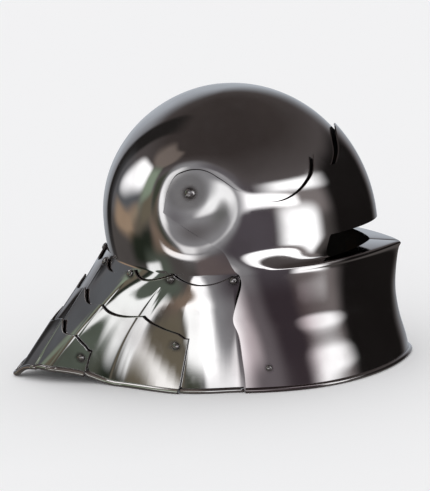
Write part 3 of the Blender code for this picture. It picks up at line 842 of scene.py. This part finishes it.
def upper_lame():
    """Upper lame and side plate in one, with its tongue inside the visor."""
    ribs = rib_columns([3.12, 3.18, 3.24, 3.30, 3.36, MIDDLE_END, UPPER_ROLL[0] - ROLL_MARK,
                        UPPER_ROLL[0] + ROLL_MARK, 4.04, 4.06], 5.0)
    lift = np.zeros_like(ribs)
    bottom, rolled = lapped_bottom(ribs, lift, UPPER_ROLL, MIDDLE_TOP, UPPER_HEM)
    top = top_edge(UPPER_TOP, UPPER_DIP, ribs, 4.0)
    return *lame_plate("upper_lame_plate", ribs, top, bottom, lift, LAME_ROWS[0]), rolled


def middle_lame():
    """Middle lame, outside the upper one."""
    ribs = rib_columns([MIDDLE_ROLL[0] - ROLL_MARK, MIDDLE_ROLL[0] + ROLL_MARK,
                        3.12, 3.18, 3.24, 3.30, 3.36, 3.42], MIDDLE_END)
    lift = np.full_like(ribs, LAYER)
    bottom, rolled = lapped_bottom(ribs, lift, MIDDLE_ROLL, LOWER_TOP, MIDDLE_HEM)
    top = top_edge(MIDDLE_TOP, MIDDLE_DIP, ribs, 3.0)
    return *lame_plate("middle_lame_plate", ribs, top, bottom, lift, LAME_ROWS[1]), rolled


def lower_lame():
    """Lower lame, outside the middle one, with the tip of the tail."""
    ribs = rib_columns([2.3, 2.36, 2.42, 2.46], LOWER_END[0])
    lift = np.full_like(ribs, 2 * LAYER)
    spread = (LOWER_END[1] - 2.0) / (LOWER_END[0] - 2.0)

    def ends(ribs, share):
        size = np.abs(ribs)
        past = np.maximum(size - 2.0, 0.0)
        return np.sign(ribs) * (np.minimum(size, 2.0) + past * (1 + (spread - 1) * share))

    bottom = rim_fall(ends(ribs, 1.0), lift, np.full_like(ribs, RIM_RADIUS))
    top = top_edge(LOWER_TOP, LOWER_DIP, ribs, 2.0)
    rolled = np.ones(len(ribs), bool)
    return *lame_plate("lower_lame_plate", ribs, top, bottom, lift, LAME_ROWS[2], ends), rolled


rims = {}
for make, node, body in ((upper_lame, "tail_lame_upper", "shell"),
                         (middle_lame, "tail_lame_middle", "middle_lame"),
                         (lower_lame, "tail_lame_lower", "lower_lame")):
    lame, grid, rolled = make()
    soften_edges(lame)
    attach(lame, body)
    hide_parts(node)
    rims[node] = (lame.name.replace("plate", "rim"), grid, rolled, body)
    print(lame.name, "faces:", len(lame.data.polygons))

# %% [markdown]
# The lower edges are rolled outward round themselves for strength, with a round bar of steel all
# along the rim as the result. A roll follows a path, so Geometry Nodes draw it: the path comes in as
# a chain of points, becomes a curve, and a circle is swept along it and capped.

# %% The rolled rim as a node tree
def tree_with(name, inputs):
    """New geometry tree with named inputs, and the sockets that give them."""
    tree = bpy.data.node_groups.new(name, "GeometryNodeTree")
    tree.interface.new_socket("Geometry", in_out="INPUT", socket_type="NodeSocketGeometry")
    tree.interface.new_socket("Geometry", in_out="OUTPUT", socket_type="NodeSocketGeometry")
    for label, kind, value in inputs:
        socket = tree.interface.new_socket(label, in_out="INPUT", socket_type=kind)
        if value is not None:
            socket.default_value = value
    nodes = Nodes(tree)
    given = tree.nodes.new("NodeGroupInput")
    return nodes, {socket.name: Sum(nodes, socket) for socket in given.outputs if socket.name}


def finish_tree(nodes, shape, material):
    """Ends a tree in Set Shade Smooth, Realize Instances and Set Material."""
    smooth = nodes.make("GeometryNodeSetShadeSmooth", None, {"Geometry": shape})
    real = nodes.make("GeometryNodeRealizeInstances", None, {"Geometry": smooth})
    done = nodes.make("GeometryNodeSetMaterial", None, {"Geometry": real, "Material": material})
    out = nodes.tree.nodes.new("NodeGroupOutput")
    nodes.put(out.inputs[0], done)
    return nodes.tree


def roll_tree():
    """Circle swept along a path."""
    nodes, given = tree_with("rolled_rim", (
        ("Radius", "NodeSocketFloat", RIM_RADIUS), ("Sides", "NodeSocketInt", 28),
        ("Material", "NodeSocketMaterial", None)))
    path = nodes.make("GeometryNodeMeshToCurve", None, {"Mesh": given["Geometry"]})
    ring = nodes.make("GeometryNodeCurvePrimitiveCircle", None, {
        "Resolution": given["Sides"], "Radius": given["Radius"]})
    tube = nodes.make("GeometryNodeCurveToMesh", None, {
        "Curve": path, "Profile Curve": ring, "Fill Caps": True})
    return finish_tree(nodes, tube, given["Material"])


def made_by_nodes(name, source, tree, values):
    """Plain mesh object from a source mesh, a geometry tree and the values of its named inputs."""
    maker = placed(name + "_source", source)
    modifier = maker.modifiers.new("Nodes", "NODES")
    modifier.node_group = tree
    for socket in tree.interface.items_tree:
        if getattr(socket, "in_out", "") == "INPUT" and socket.name in values:
            modifier[socket.identifier] = values[socket.name]
    bpy.context.view_layer.update()
    graph = bpy.context.evaluated_depsgraph_get()
    made = maker.evaluated_get(graph)
    mesh = bpy.data.meshes.new_from_object(made, preserve_all_data_layers=True, depsgraph=graph)
    maker.modifiers.remove(modifier)
    bpy.data.objects.remove(maker)
    mesh.name = name
    return placed(name, mesh)


ROLL = roll_tree()
print("roll tree nodes:", len(ROLL.nodes))

# %% [markdown]
# The chain for each roll comes from the last row of its plate, a little lower and further out, so
# that the roll meets the plate all along.

# %% The four rims
def roll_centre(edge, above, normal):
    """Middle line of the roll below a plate's edge."""
    along = unit(np.gradient(edge, axis=0))
    down = edge - above
    down = unit(down - along * np.sum(down * along, axis=-1, keepdims=True))
    out = normal - along * np.sum(normal * along, axis=-1, keepdims=True)
    out = unit(out - down * np.sum(out * down, axis=-1, keepdims=True))
    return edge + (RIM_RADIUS - PLATE) * out + rim_drop(RIM_RADIUS) * down


def chain_mesh(name, runs):
    """Mesh of edges alone, one chain for each run of points."""
    points = [point for run in runs for point in run.tolist()]
    edges = []
    start = 0
    for run in runs:
        edges += [(start + step, start + step + 1) for step in range(len(run) - 1)]
        start += len(run)
    mesh = bpy.data.meshes.new(name)
    mesh.from_pydata(points, edges, [])
    return mesh


def rim_piece(name, grid, rolled, body, node):
    """Rolled rim along the last row of a plate's grid, where it is rolled."""
    normals = grid_normals(grid)[-1]
    centre = roll_centre(grid[-1], grid[-2], normals)
    ends = np.flatnonzero(rolled[1:] != rolled[:-1]) + 1
    runs = [centre[run] for run in np.split(np.arange(len(rolled)), ends) if rolled[run[0]]]
    path = chain_mesh(name + "_path", runs)
    thing = made_by_nodes(name, path, ROLL, {"Radius": RIM_RADIUS, "Material": PLATES})
    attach(thing, body)
    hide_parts(node)
    print(name, "faces:", len(thing.data.polygons))


for node, rim in rims.items():
    rim_piece(*rim, node)
rim_piece("visor_rim", visor_grid, np.ones(visor_grid.shape[1], bool), "visor", "visor")

# %% [markdown]
# Domed rivets hold it all: four each side round the neck, one each side for each lower lame, the two
# big ones that the visor turns on, and a small one low on each cheek. They repeat, so one node tree
# sets a rivet on each point of a small mesh, turned to the plate and a little uneven, as hand-set
# rivets are. A rivet is two shapes: a domed head on the plate and a shank through it.

# %% Rivet sizes
SEAT_GAP = 0.0004
PIVOT_HEAD = 0.0050
PIVOT_SHANK = 0.0025
RIVET_HEAD = 0.0036
RIVET_SHANK = 0.0016
SMALL_HEAD = 0.0026
NECK_RIVET_RIBS = (1.0, 2.0, 3.0, 4.0)
NECK_RIVET_FALL = 0.050
MIDDLE_PIVOT = (3.385, 0.615)
LOWER_PIVOT = (2.40, 0.860)
VISOR_RIVET = (0.905, 0.205)
RIVET_TONE = (0.35, 0.34, 0.35)
RIVET_LIGHT = (0.46, 0.45, 0.46)
RIVET_DARK = (0.17, 0.155, 0.15)


def rivet_steel(name):
    """Rivet heads: duller and more blotched than the plates."""
    material, nodes, shader = new_material(name, RIVET_TONE)
    place = nodes.make("ShaderNodeTexCoord", output="Object")
    blotch = nodes.noise(place, 900.0, 3.0)
    color = nodes.mix(blotch.step(0.40, 0.70), RIVET_LIGHT, RIVET_DARK)
    nodes.fill(shader, {"Base Color": color, "Roughness": 0.16 + 0.22 * blotch, "Metallic": 1.0,
                        "Normal": nodes.bump(0.4, 0.0001, blotch)})
    return material


RIVETS = rivet_steel("rivet_steel")
print("rivet material:", RIVETS.name)

# %% [markdown]
# A head could be half a ball, but a hammered one has a low flank under its dome. So the rings of a
# cylinder climb that shape, and the tree sets one head and one pin on every point that it is given.

# %% The rivet tree
FLANK = 0.12
FLANK_RISE = 0.16
HEAD_RISE = 0.50
TIP_WIDTH = 0.03
HEAD_RINGS = 12
PIN_MIDDLE = -0.4999


def rivet_head(nodes, sides):
    """Domed head of radius 1: a cylinder whose rings climb a low flank and then a dome."""
    body = nodes.make("GeometryNodeMeshCylinder", {"fill_type": "TRIANGLE_FAN"}, {
        "Vertices": sides, "Side Segments": HEAD_RINGS, "Radius": 1.0, "Depth": 1.0})
    x, y, z = nodes.parts(nodes.make("GeometryNodeInputPosition"))
    height = z + 0.5
    flank = height.one("MINIMUM", FLANK) / FLANK
    angle = ((height - FLANK) / (1 - FLANK)).one("MAXIMUM", 0.0) * (math.pi / 2)
    radius = angle.one("COSINE").one("MAXIMUM", TIP_WIDTH)
    lift = (flank * FLANK_RISE + angle.one("SINE") * (1 - FLANK_RISE)) * HEAD_RISE
    place = nodes.make("ShaderNodeCombineXYZ", None, {"X": x * radius, "Y": y * radius, "Z": lift})
    return nodes.make("GeometryNodeSetPosition", None, {"Geometry": body, "Position": place})


def rivet_tree():
    """Domed rivet on each point, along its axis, sized by the point's head, shank and grip."""
    nodes, given = tree_with("rivets_on_points", (
        ("Sides", "NodeSocketInt", 28), ("Unevenness", "NodeSocketFloat", 0.06),
        ("Seed", "NodeSocketInt", 7), ("Material", "NodeSocketMaterial", None)))

    def own(label, kind="FLOAT"):
        return nodes.make("GeometryNodeInputNamedAttribute", {"data_type": kind}, {"Name": label})

    def on_points(shape, wide, tall):
        turned = nodes.make("FunctionNodeAlignRotationToVector", {"axis": "Z"}, {
            "Vector": own("axis", "FLOAT_VECTOR")})
        size = nodes.make("ShaderNodeCombineXYZ", None, {"X": wide, "Y": wide, "Z": tall})
        return nodes.make("GeometryNodeInstanceOnPoints", None, {
            "Points": given["Geometry"], "Instance": shape, "Rotation": turned, "Scale": size})

    uneven = nodes.make("FunctionNodeRandomValue", {"data_type": "FLOAT"}, {
        "Min": 1.0 - given["Unevenness"], "Max": 1.0 + 0.3 * given["Unevenness"],
        "Seed": given["Seed"]}, output=1)
    heads = on_points(rivet_head(nodes, given["Sides"]), own("head") * uneven, own("head"))
    pin = nodes.make("GeometryNodeMeshCylinder", {"fill_type": "NGON"}, {
        "Vertices": given["Sides"], "Radius": 1.0, "Depth": 1.0})
    pin = nodes.make("GeometryNodeTransform", None, {
        "Geometry": pin, "Translation": (0.0, 0.0, PIN_MIDDLE)})
    pins = on_points(pin, own("shank"), own("grip"))
    joined = nodes.make("GeometryNodeJoinGeometry")
    for shape in (heads, pins):
        nodes.put(joined.socket.node.inputs[0], shape)
    return finish_tree(nodes, joined, given["Material"])


RIVET_TREE = rivet_tree()
print("rivet tree nodes:", len(RIVET_TREE.nodes))

# %% [markdown]
# A rivet moves with the plate that it is fast in, so each body has small meshes of points of its own.
# The right side is worked out and the left one mirrored, as the helmet is.

# %% Rivets on each body
def visor_spot(share, height):
    """Point and outward normal on the lower visor, at shares of the way round and of the ledge."""
    table = np.array(VISOR_SECTIONS)
    stations = np.linspace(0, len(table) - 1, 400)
    heights = spline(table[:, 0], stations)
    step = 0.01

    def at(share, height):
        station = float(np.interp(-height, -heights, stations))
        return visor_section(np.array([share]), station)[0]

    along = at(share + step, height) - at(share - step, height)
    up = at(share, height + step) - at(share, height - step)
    return at(share, height), unit(np.cross(along, up))


def rivet_piece(name, body, seats, nodes_replaced):
    """Rivets on seats, each a place, an axis, a head, a shank and a grip."""
    points = bpy.data.meshes.new(name + "_points")
    points.from_pydata([tuple(place + SEAT_GAP * axis) for place, axis, *_ in seats], [], [])
    _, axes, *sizes = zip(*seats)
    points.attributes.new("axis", "FLOAT_VECTOR", "POINT").data.foreach_set("vector", np.ravel(axes))
    for label, size in zip(("head", "shank", "grip"), sizes):
        points.attributes.new(label, "FLOAT", "POINT").data.foreach_set("value", size)
    thing = made_by_nodes(name, points, RIVET_TREE, {"Material": RIVETS})
    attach(thing, body)
    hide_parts(*nodes_replaced)
    print(name, "on", len(seats), "seats, faces:", len(thing.data.polygons))


def seats_at(place, normal, head, shank, grip):
    """A pair of seats, right and left."""
    sides = (np.array([1, sign, 1]) for sign in (-1.0, 1.0))
    return [(place * side, normal * side, head, shank, grip) for side in sides]


TWO_PLATES = (RIVET_HEAD, RIVET_SHANK, LAYER + PLATE + 3 * SEAT_GAP)
neck_seats = []
for rib in NECK_RIVET_RIBS:
    neck_seats += seats_at(*skirt(rib, NECK_RIVET_FALL, 0.0), *TWO_PLATES)
neck_nodes = [f"neck_rivet_{side}_{count}" for side in ("left", "right") for count in (1, 2, 3, 4)]
rivet_piece("neck_rivets", "shell", neck_seats, neck_nodes)
middle_seats = seats_at(*skirt(*MIDDLE_PIVOT, LAYER), *TWO_PLATES)
rivet_piece("middle_lame_rivets", "shell", middle_seats,
            ("middle_lame_rivet_left", "middle_lame_rivet_right"))
lower_seats = seats_at(*skirt(*LOWER_PIVOT, 2 * LAYER), *TWO_PLATES)
rivet_piece("lower_lame_rivets", "middle_lame", lower_seats,
            ("lower_lame_rivet_left", "lower_lame_rivet_right"))
pivot_place = np.array([PIVOT_X, PIVOT_HALF_WIDTH + VISOR_LIFT, PIVOT_HEIGHT])
pivot_seats = seats_at(pivot_place, np.array([0.0, 1.0, 0.0]), PIVOT_HEAD, PIVOT_SHANK,
                       VISOR_LIFT + PLATE + 2 * SEAT_GAP)
rivet_piece("visor_pivots", "shell", pivot_seats, ("visor_pivot_left", "visor_pivot_right"))
cheek_seats = seats_at(*visor_spot(*VISOR_RIVET), SMALL_HEAD, RIVET_SHANK, PLATE + SEAT_GAP)
rivet_piece("cheek_rivets", "visor", cheek_seats, ("visor_rivet_left", "visor_rivet_right"))

# %% [markdown]
# Painted shade, with grime where the polishing cloth can't reach, darkens and dulls the corner round
# each rivet head. It could be painted in an image, but a value on the plate's own points, worked out
# from the rivets, stays with them.

# %% Painted shade and grime round the rivets
SHADE_AND_GRIME_START = 1.05
SHADE_AND_GRIME_REACH = 1.9


def add_shade_and_grime(plate, seats):
    """Painted shade, with grime, in the corner round each rivet head, as a value on the plate's points.
    """
    places = np.empty(3 * len(plate.data.vertices))
    plate.data.vertices.foreach_get("co", places)
    places = places.reshape(-1, 3)
    grime = np.zeros(len(places))
    for place, _, head, *_ in seats:
        away = np.linalg.norm(places - place, axis=1) / head
        grime = np.maximum(grime, 1.0 - smooth_step(away, SHADE_AND_GRIME_START, SHADE_AND_GRIME_REACH))
    plate.data.attributes.new("grime", "FLOAT", "POINT").data.foreach_set("value", grime)


for label, seats in (("visor_plate", pivot_seats + cheek_seats), ("upper_lame_plate", neck_seats),
                     ("middle_lame_plate", middle_seats), ("lower_lame_plate", lower_seats)):
    add_shade_and_grime(bpy.data.objects[label], seats)
print("grime reaches", SHADE_AND_GRIME_REACH, "head radii")

# %% [markdown]
# The helmet stands on a plain pale floor, which takes its shadow. The steel looks through the floor,
# by a shader that is clear to mirrored rays, or it would mirror white from every side.

# %% Floor
FLOOR_SIDE = 14.0
FLOOR_TONE = (0.90, 0.90, 0.91)


def floor():
    """Plain pale floor, which rays from the steel pass through."""
    mesh = bpy.data.meshes.new("floor")
    half = FLOOR_SIDE / 2
    corners = [(-half, -half, 0), (half, -half, 0), (half, half, 0), (-half, half, 0)]
    mesh.from_pydata(corners, [], [(0, 1, 2, 3)])
    thing = placed("floor", mesh)
    material, nodes, shader = new_material("pale_floor", FLOOR_TONE)
    nodes.fill(shader, {"Base Color": (*FLOOR_TONE, 1.0), "Roughness": 0.9, "Specular IOR Level": 0.1})
    glossy = nodes.make("ShaderNodeLightPath", output="Is Glossy Ray")
    clear = nodes.make("ShaderNodeBsdfTransparent")
    pale = Sum(nodes, shader.outputs[0])
    both = nodes.make("ShaderNodeMixShader", None, {0: glossy, 1: pale, 2: clear})
    nodes.put(material.node_tree.nodes["Material Output"].inputs["Surface"], both)
    mesh.materials.append(material)


floor()
print("floor side", FLOOR_SIDE, "m")

# %% [markdown]
# The picture is taken from the side with a long lens, a little above the helmet and a little rolled.
# The camera stands far off with a narrow view, which keeps the outline as flat as it is there.

# %% Camera
CAMERA_RISE = math.radians(13.5)
CAMERA_ROLL = math.radians(3.7)
CAMERA_CENTRE = Vector((0.00895, 0.0, 0.1146))
CAMERA_AWAY = 6.0
VIEW_HEIGHT = 0.46645
SENSOR = 36.0


def portrait_camera():
    """Long lens a little above the helmet, rolled as the picture is."""
    ahead = Vector((1.0, 0.0, 0.0))
    above = Vector((0.0, math.sin(CAMERA_RISE), math.cos(CAMERA_RISE)))
    right = ahead * math.cos(CAMERA_ROLL) - above * math.sin(CAMERA_ROLL)
    up = ahead * math.sin(CAMERA_ROLL) + above * math.cos(CAMERA_ROLL)
    back = right.cross(up)
    data = bpy.data.cameras.new("portrait")
    data.sensor_width = SENSOR
    data.lens = SENSOR * CAMERA_AWAY / VIEW_HEIGHT
    data.clip_end = 10 * CAMERA_AWAY
    camera = placed("portrait", data)
    turn = Matrix((right, up, back)).transposed().to_4x4()
    camera.matrix_world = Matrix.Translation(CAMERA_CENTRE + back * CAMERA_AWAY) @ turn
    bpy.context.scene.camera = camera
    return camera


camera = portrait_camera()
print("lens", round(camera.data.lens, 1), "mm")

# %% [markdown]
# A mirror shows its room, so the room is the real paint of this portrait. It is a handful of soft
# patches that only the steel sees, each a direction, a size and a colour: a dark ceiling, pale walls,
# bright sheets, warm ground. An image of a room would do the same, but a patch can be moved alone
# until its plate mirrors the right light. Four soft cards near the helmet light what the room can't.

# %% Room of light
EYE_WHITE = (1.0, 1.0, 1.0)
CEILING = (0.060, 0.049, 0.046)
HIGH_WALL = (0.095, 0.082, 0.080)
WALL = (0.17, 0.15, 0.15)
GROUND = (0.10, 0.09, 0.085)
ROOM_STOPS = ((0.0, GROUND), (0.42, GROUND), (0.50, WALL), (0.72, HIGH_WALL), (0.88, CEILING))

# Patches of the room, later ones over earlier ones. Azimuth 0 is the side the picture is taken from
# and 90 the wearer's front. Azimuth, elevation, half width and half height are in degrees, then come
# softness, slope, colour and strength.
ROOM_PATCHES = (
    ("roof beam", -72.0, 50.0, 46.0, 17.0, 0.25, 0.0, (1.0, 0.82, 0.72), 0.22),
    ("wall behind", 180.0, 3.0, 27.0, 19.0, 0.70, 0.0, (0.86, 0.92, 1.0), 0.58),
    ("door frame", -144.0, 18.0, 7.0, 40.0, 0.30, 0.0, (1.0, 0.90, 0.85), 0.022),
    ("tail wall", -116.0, 6.0, 22.0, 11.0, 0.50, 0.0, (0.90, 0.94, 1.0), 0.15),
    ("path left", -108.0, -7.0, 19.0, 6.5, 0.45, -0.10, (1.0, 0.72, 0.50), 0.42),
    ("hedge", -76.0, -19.0, 22.0, 6.5, 0.45, 0.0, (0.80, 1.0, 0.70), 0.03),
    ("garden", -74.0, 14.0, 19.0, 17.0, 0.45, 0.0, (0.82, 1.0, 0.74), 0.36),
    ("garden edge", -66.0, -5.0, 20.0, 6.0, 0.50, 0.10, (1.0, 0.86, 0.62), 0.18),
    ("dark green", -30.0, 3.0, 16.0, 11.0, 0.50, 0.0, (0.92, 1.0, 0.72), 0.07),
    ("path right", -36.0, -13.0, 20.0, 6.0, 0.50, 0.10, (1.0, 0.74, 0.56), 0.26),
    ("lawn", -56.0, -30.0, 18.0, 10.0, 0.50, 0.0, (0.85, 1.0, 0.80), 0.14),
    ("pale wall", -3.0, 0.0, 15.0, 19.0, 0.65, 0.0, (0.98, 0.97, 1.0), 0.36),
    ("white sheet", -9.5, -4.0, 6.5, 8.0, 0.50, 0.0, (1.0, 1.0, 1.0), 1.3),
    ("warm ground", 6.0, -27.0, 11.0, 7.0, 0.40, 0.0, (1.0, 0.80, 0.78), 0.18),
    ("tall shade", 23.0, -5.0, 17.0, 19.0, 0.45, 0.0, (1.0, 0.86, 0.98), 0.10),
    ("front wall", 60.0, 2.0, 20.0, 6.0, 0.50, 0.0, (1.0, 0.88, 0.86), 0.26),
    ("bright sheet", 54.0, -11.0, 13.0, 10.0, 0.45, 0.0, (1.0, 1.0, 1.0), 1.9),
    ("front doorway", 109.0, -2.0, 31.0, 24.0, 0.24, 0.0, (1.0, 0.85, 0.80), 0.012),
    ("long lamp", 57.0, 12.0, 20.0, 3.6, 0.60, 0.0, (1.0, 1.0, 1.0), 1.8),
)

# Soft light cards: name, middle, turn, width, height and strength. They stand near the helmet, so
# that the low plates see other cards than the high ones do. The tail's card reaches below the floor,
# which the steel looks through.
CARD_EDGE = (0.45, 1.0)
LIGHT_CARDS = (
    ("low_card", (-0.155, -0.37, 0.038), 0.0, 0.35, 0.070, 1.4),
    ("tail_card", (-0.290, -0.205, -0.024), -70.0, 0.17, 0.070, 1.2),
    ("window_card", (-0.285, 0.020, 0.285), -90.0, 0.25, 0.190, 1.5),
    ("brow_card", (0.290, -0.375, 0.200), 0.0, 0.56, 0.090, 2.0),
)


def from_middle(across, up):
    """Way out from the middle of a box with round corners, 1 at its edge."""
    return (across.one("ABSOLUTE") ** 4.0 + up.one("ABSOLUTE") ** 4.0) ** 0.25


def patch_mask(azimuth, elevation, patch):
    """Soft rounded patch of the room's directions."""
    _, at, height, wide, tall, soft, slope, _, _ = patch
    turned = (azimuth - (at - 540.0)).one("MODULO", 360.0) - 180.0
    out = from_middle(turned / wide, (elevation - height - slope * turned) / tall)
    return 1.0 - out.step(1.0 - soft, 1.0 + soft)


def room_of_light():
    """World that the steel mirrors, with plain white for the eye."""
    world = bpy.data.worlds.new("room")
    world.use_nodes = True
    bpy.context.scene.world = world
    nodes = Nodes(world.node_tree)
    x, y, z = nodes.parts(nodes.make("ShaderNodeTexCoord", output="Generated"))
    elevation = z.one("ARCSINE") * (180 / math.pi)
    azimuth = x.one("ARCTAN2", y * -1.0) * (180 / math.pi)
    color = nodes.make("ShaderNodeValToRGB", {"stops": ROOM_STOPS}, {"Fac": z * 0.5 + 0.5})
    for patch in ROOM_PATCHES:
        *_, tone, strength = patch
        tint = [channel * strength for channel in tone]
        color = nodes.mix(patch_mask(azimuth, elevation, patch), color, tint)
    glossy = nodes.make("ShaderNodeLightPath", output="Is Glossy Ray")
    nodes.put(world.node_tree.nodes["Background"].inputs["Color"], nodes.mix(glossy, EYE_WHITE, color))


def light_card(name, centre, turn, wide, tall, strength):
    """Upright card of light facing the helmet, soft at its edges, seen only in the steel."""
    data = bpy.data.lights.new(name, "AREA")
    data.shape = "RECTANGLE"
    data.size = wide
    data.size_y = tall
    data.energy = math.pi * wide * tall * strength
    data.use_nodes = True
    nodes = Nodes(data.node_tree)
    x, y, _ = nodes.parts(nodes.make("ShaderNodeNewGeometry", output="Parametric"))
    out = from_middle(x * 2.0 - 1.0, y * 2.0 - 1.0)
    nodes.put(data.node_tree.nodes["Emission"].inputs["Strength"], 1.0 - out.step(*CARD_EDGE))
    card = placed(name, data)
    card.location = centre
    card.rotation_euler = (math.radians(90), 0.0, math.radians(turn))
    card.visible_camera = False
    card.visible_diffuse = False


room_of_light()
for card in LIGHT_CARDS:
    light_card(*card)
bpy.context.scene.view_settings.view_transform = "Standard"
print("patches in the room:", len(ROOM_PATCHES), "cards:", len(LIGHT_CARDS))
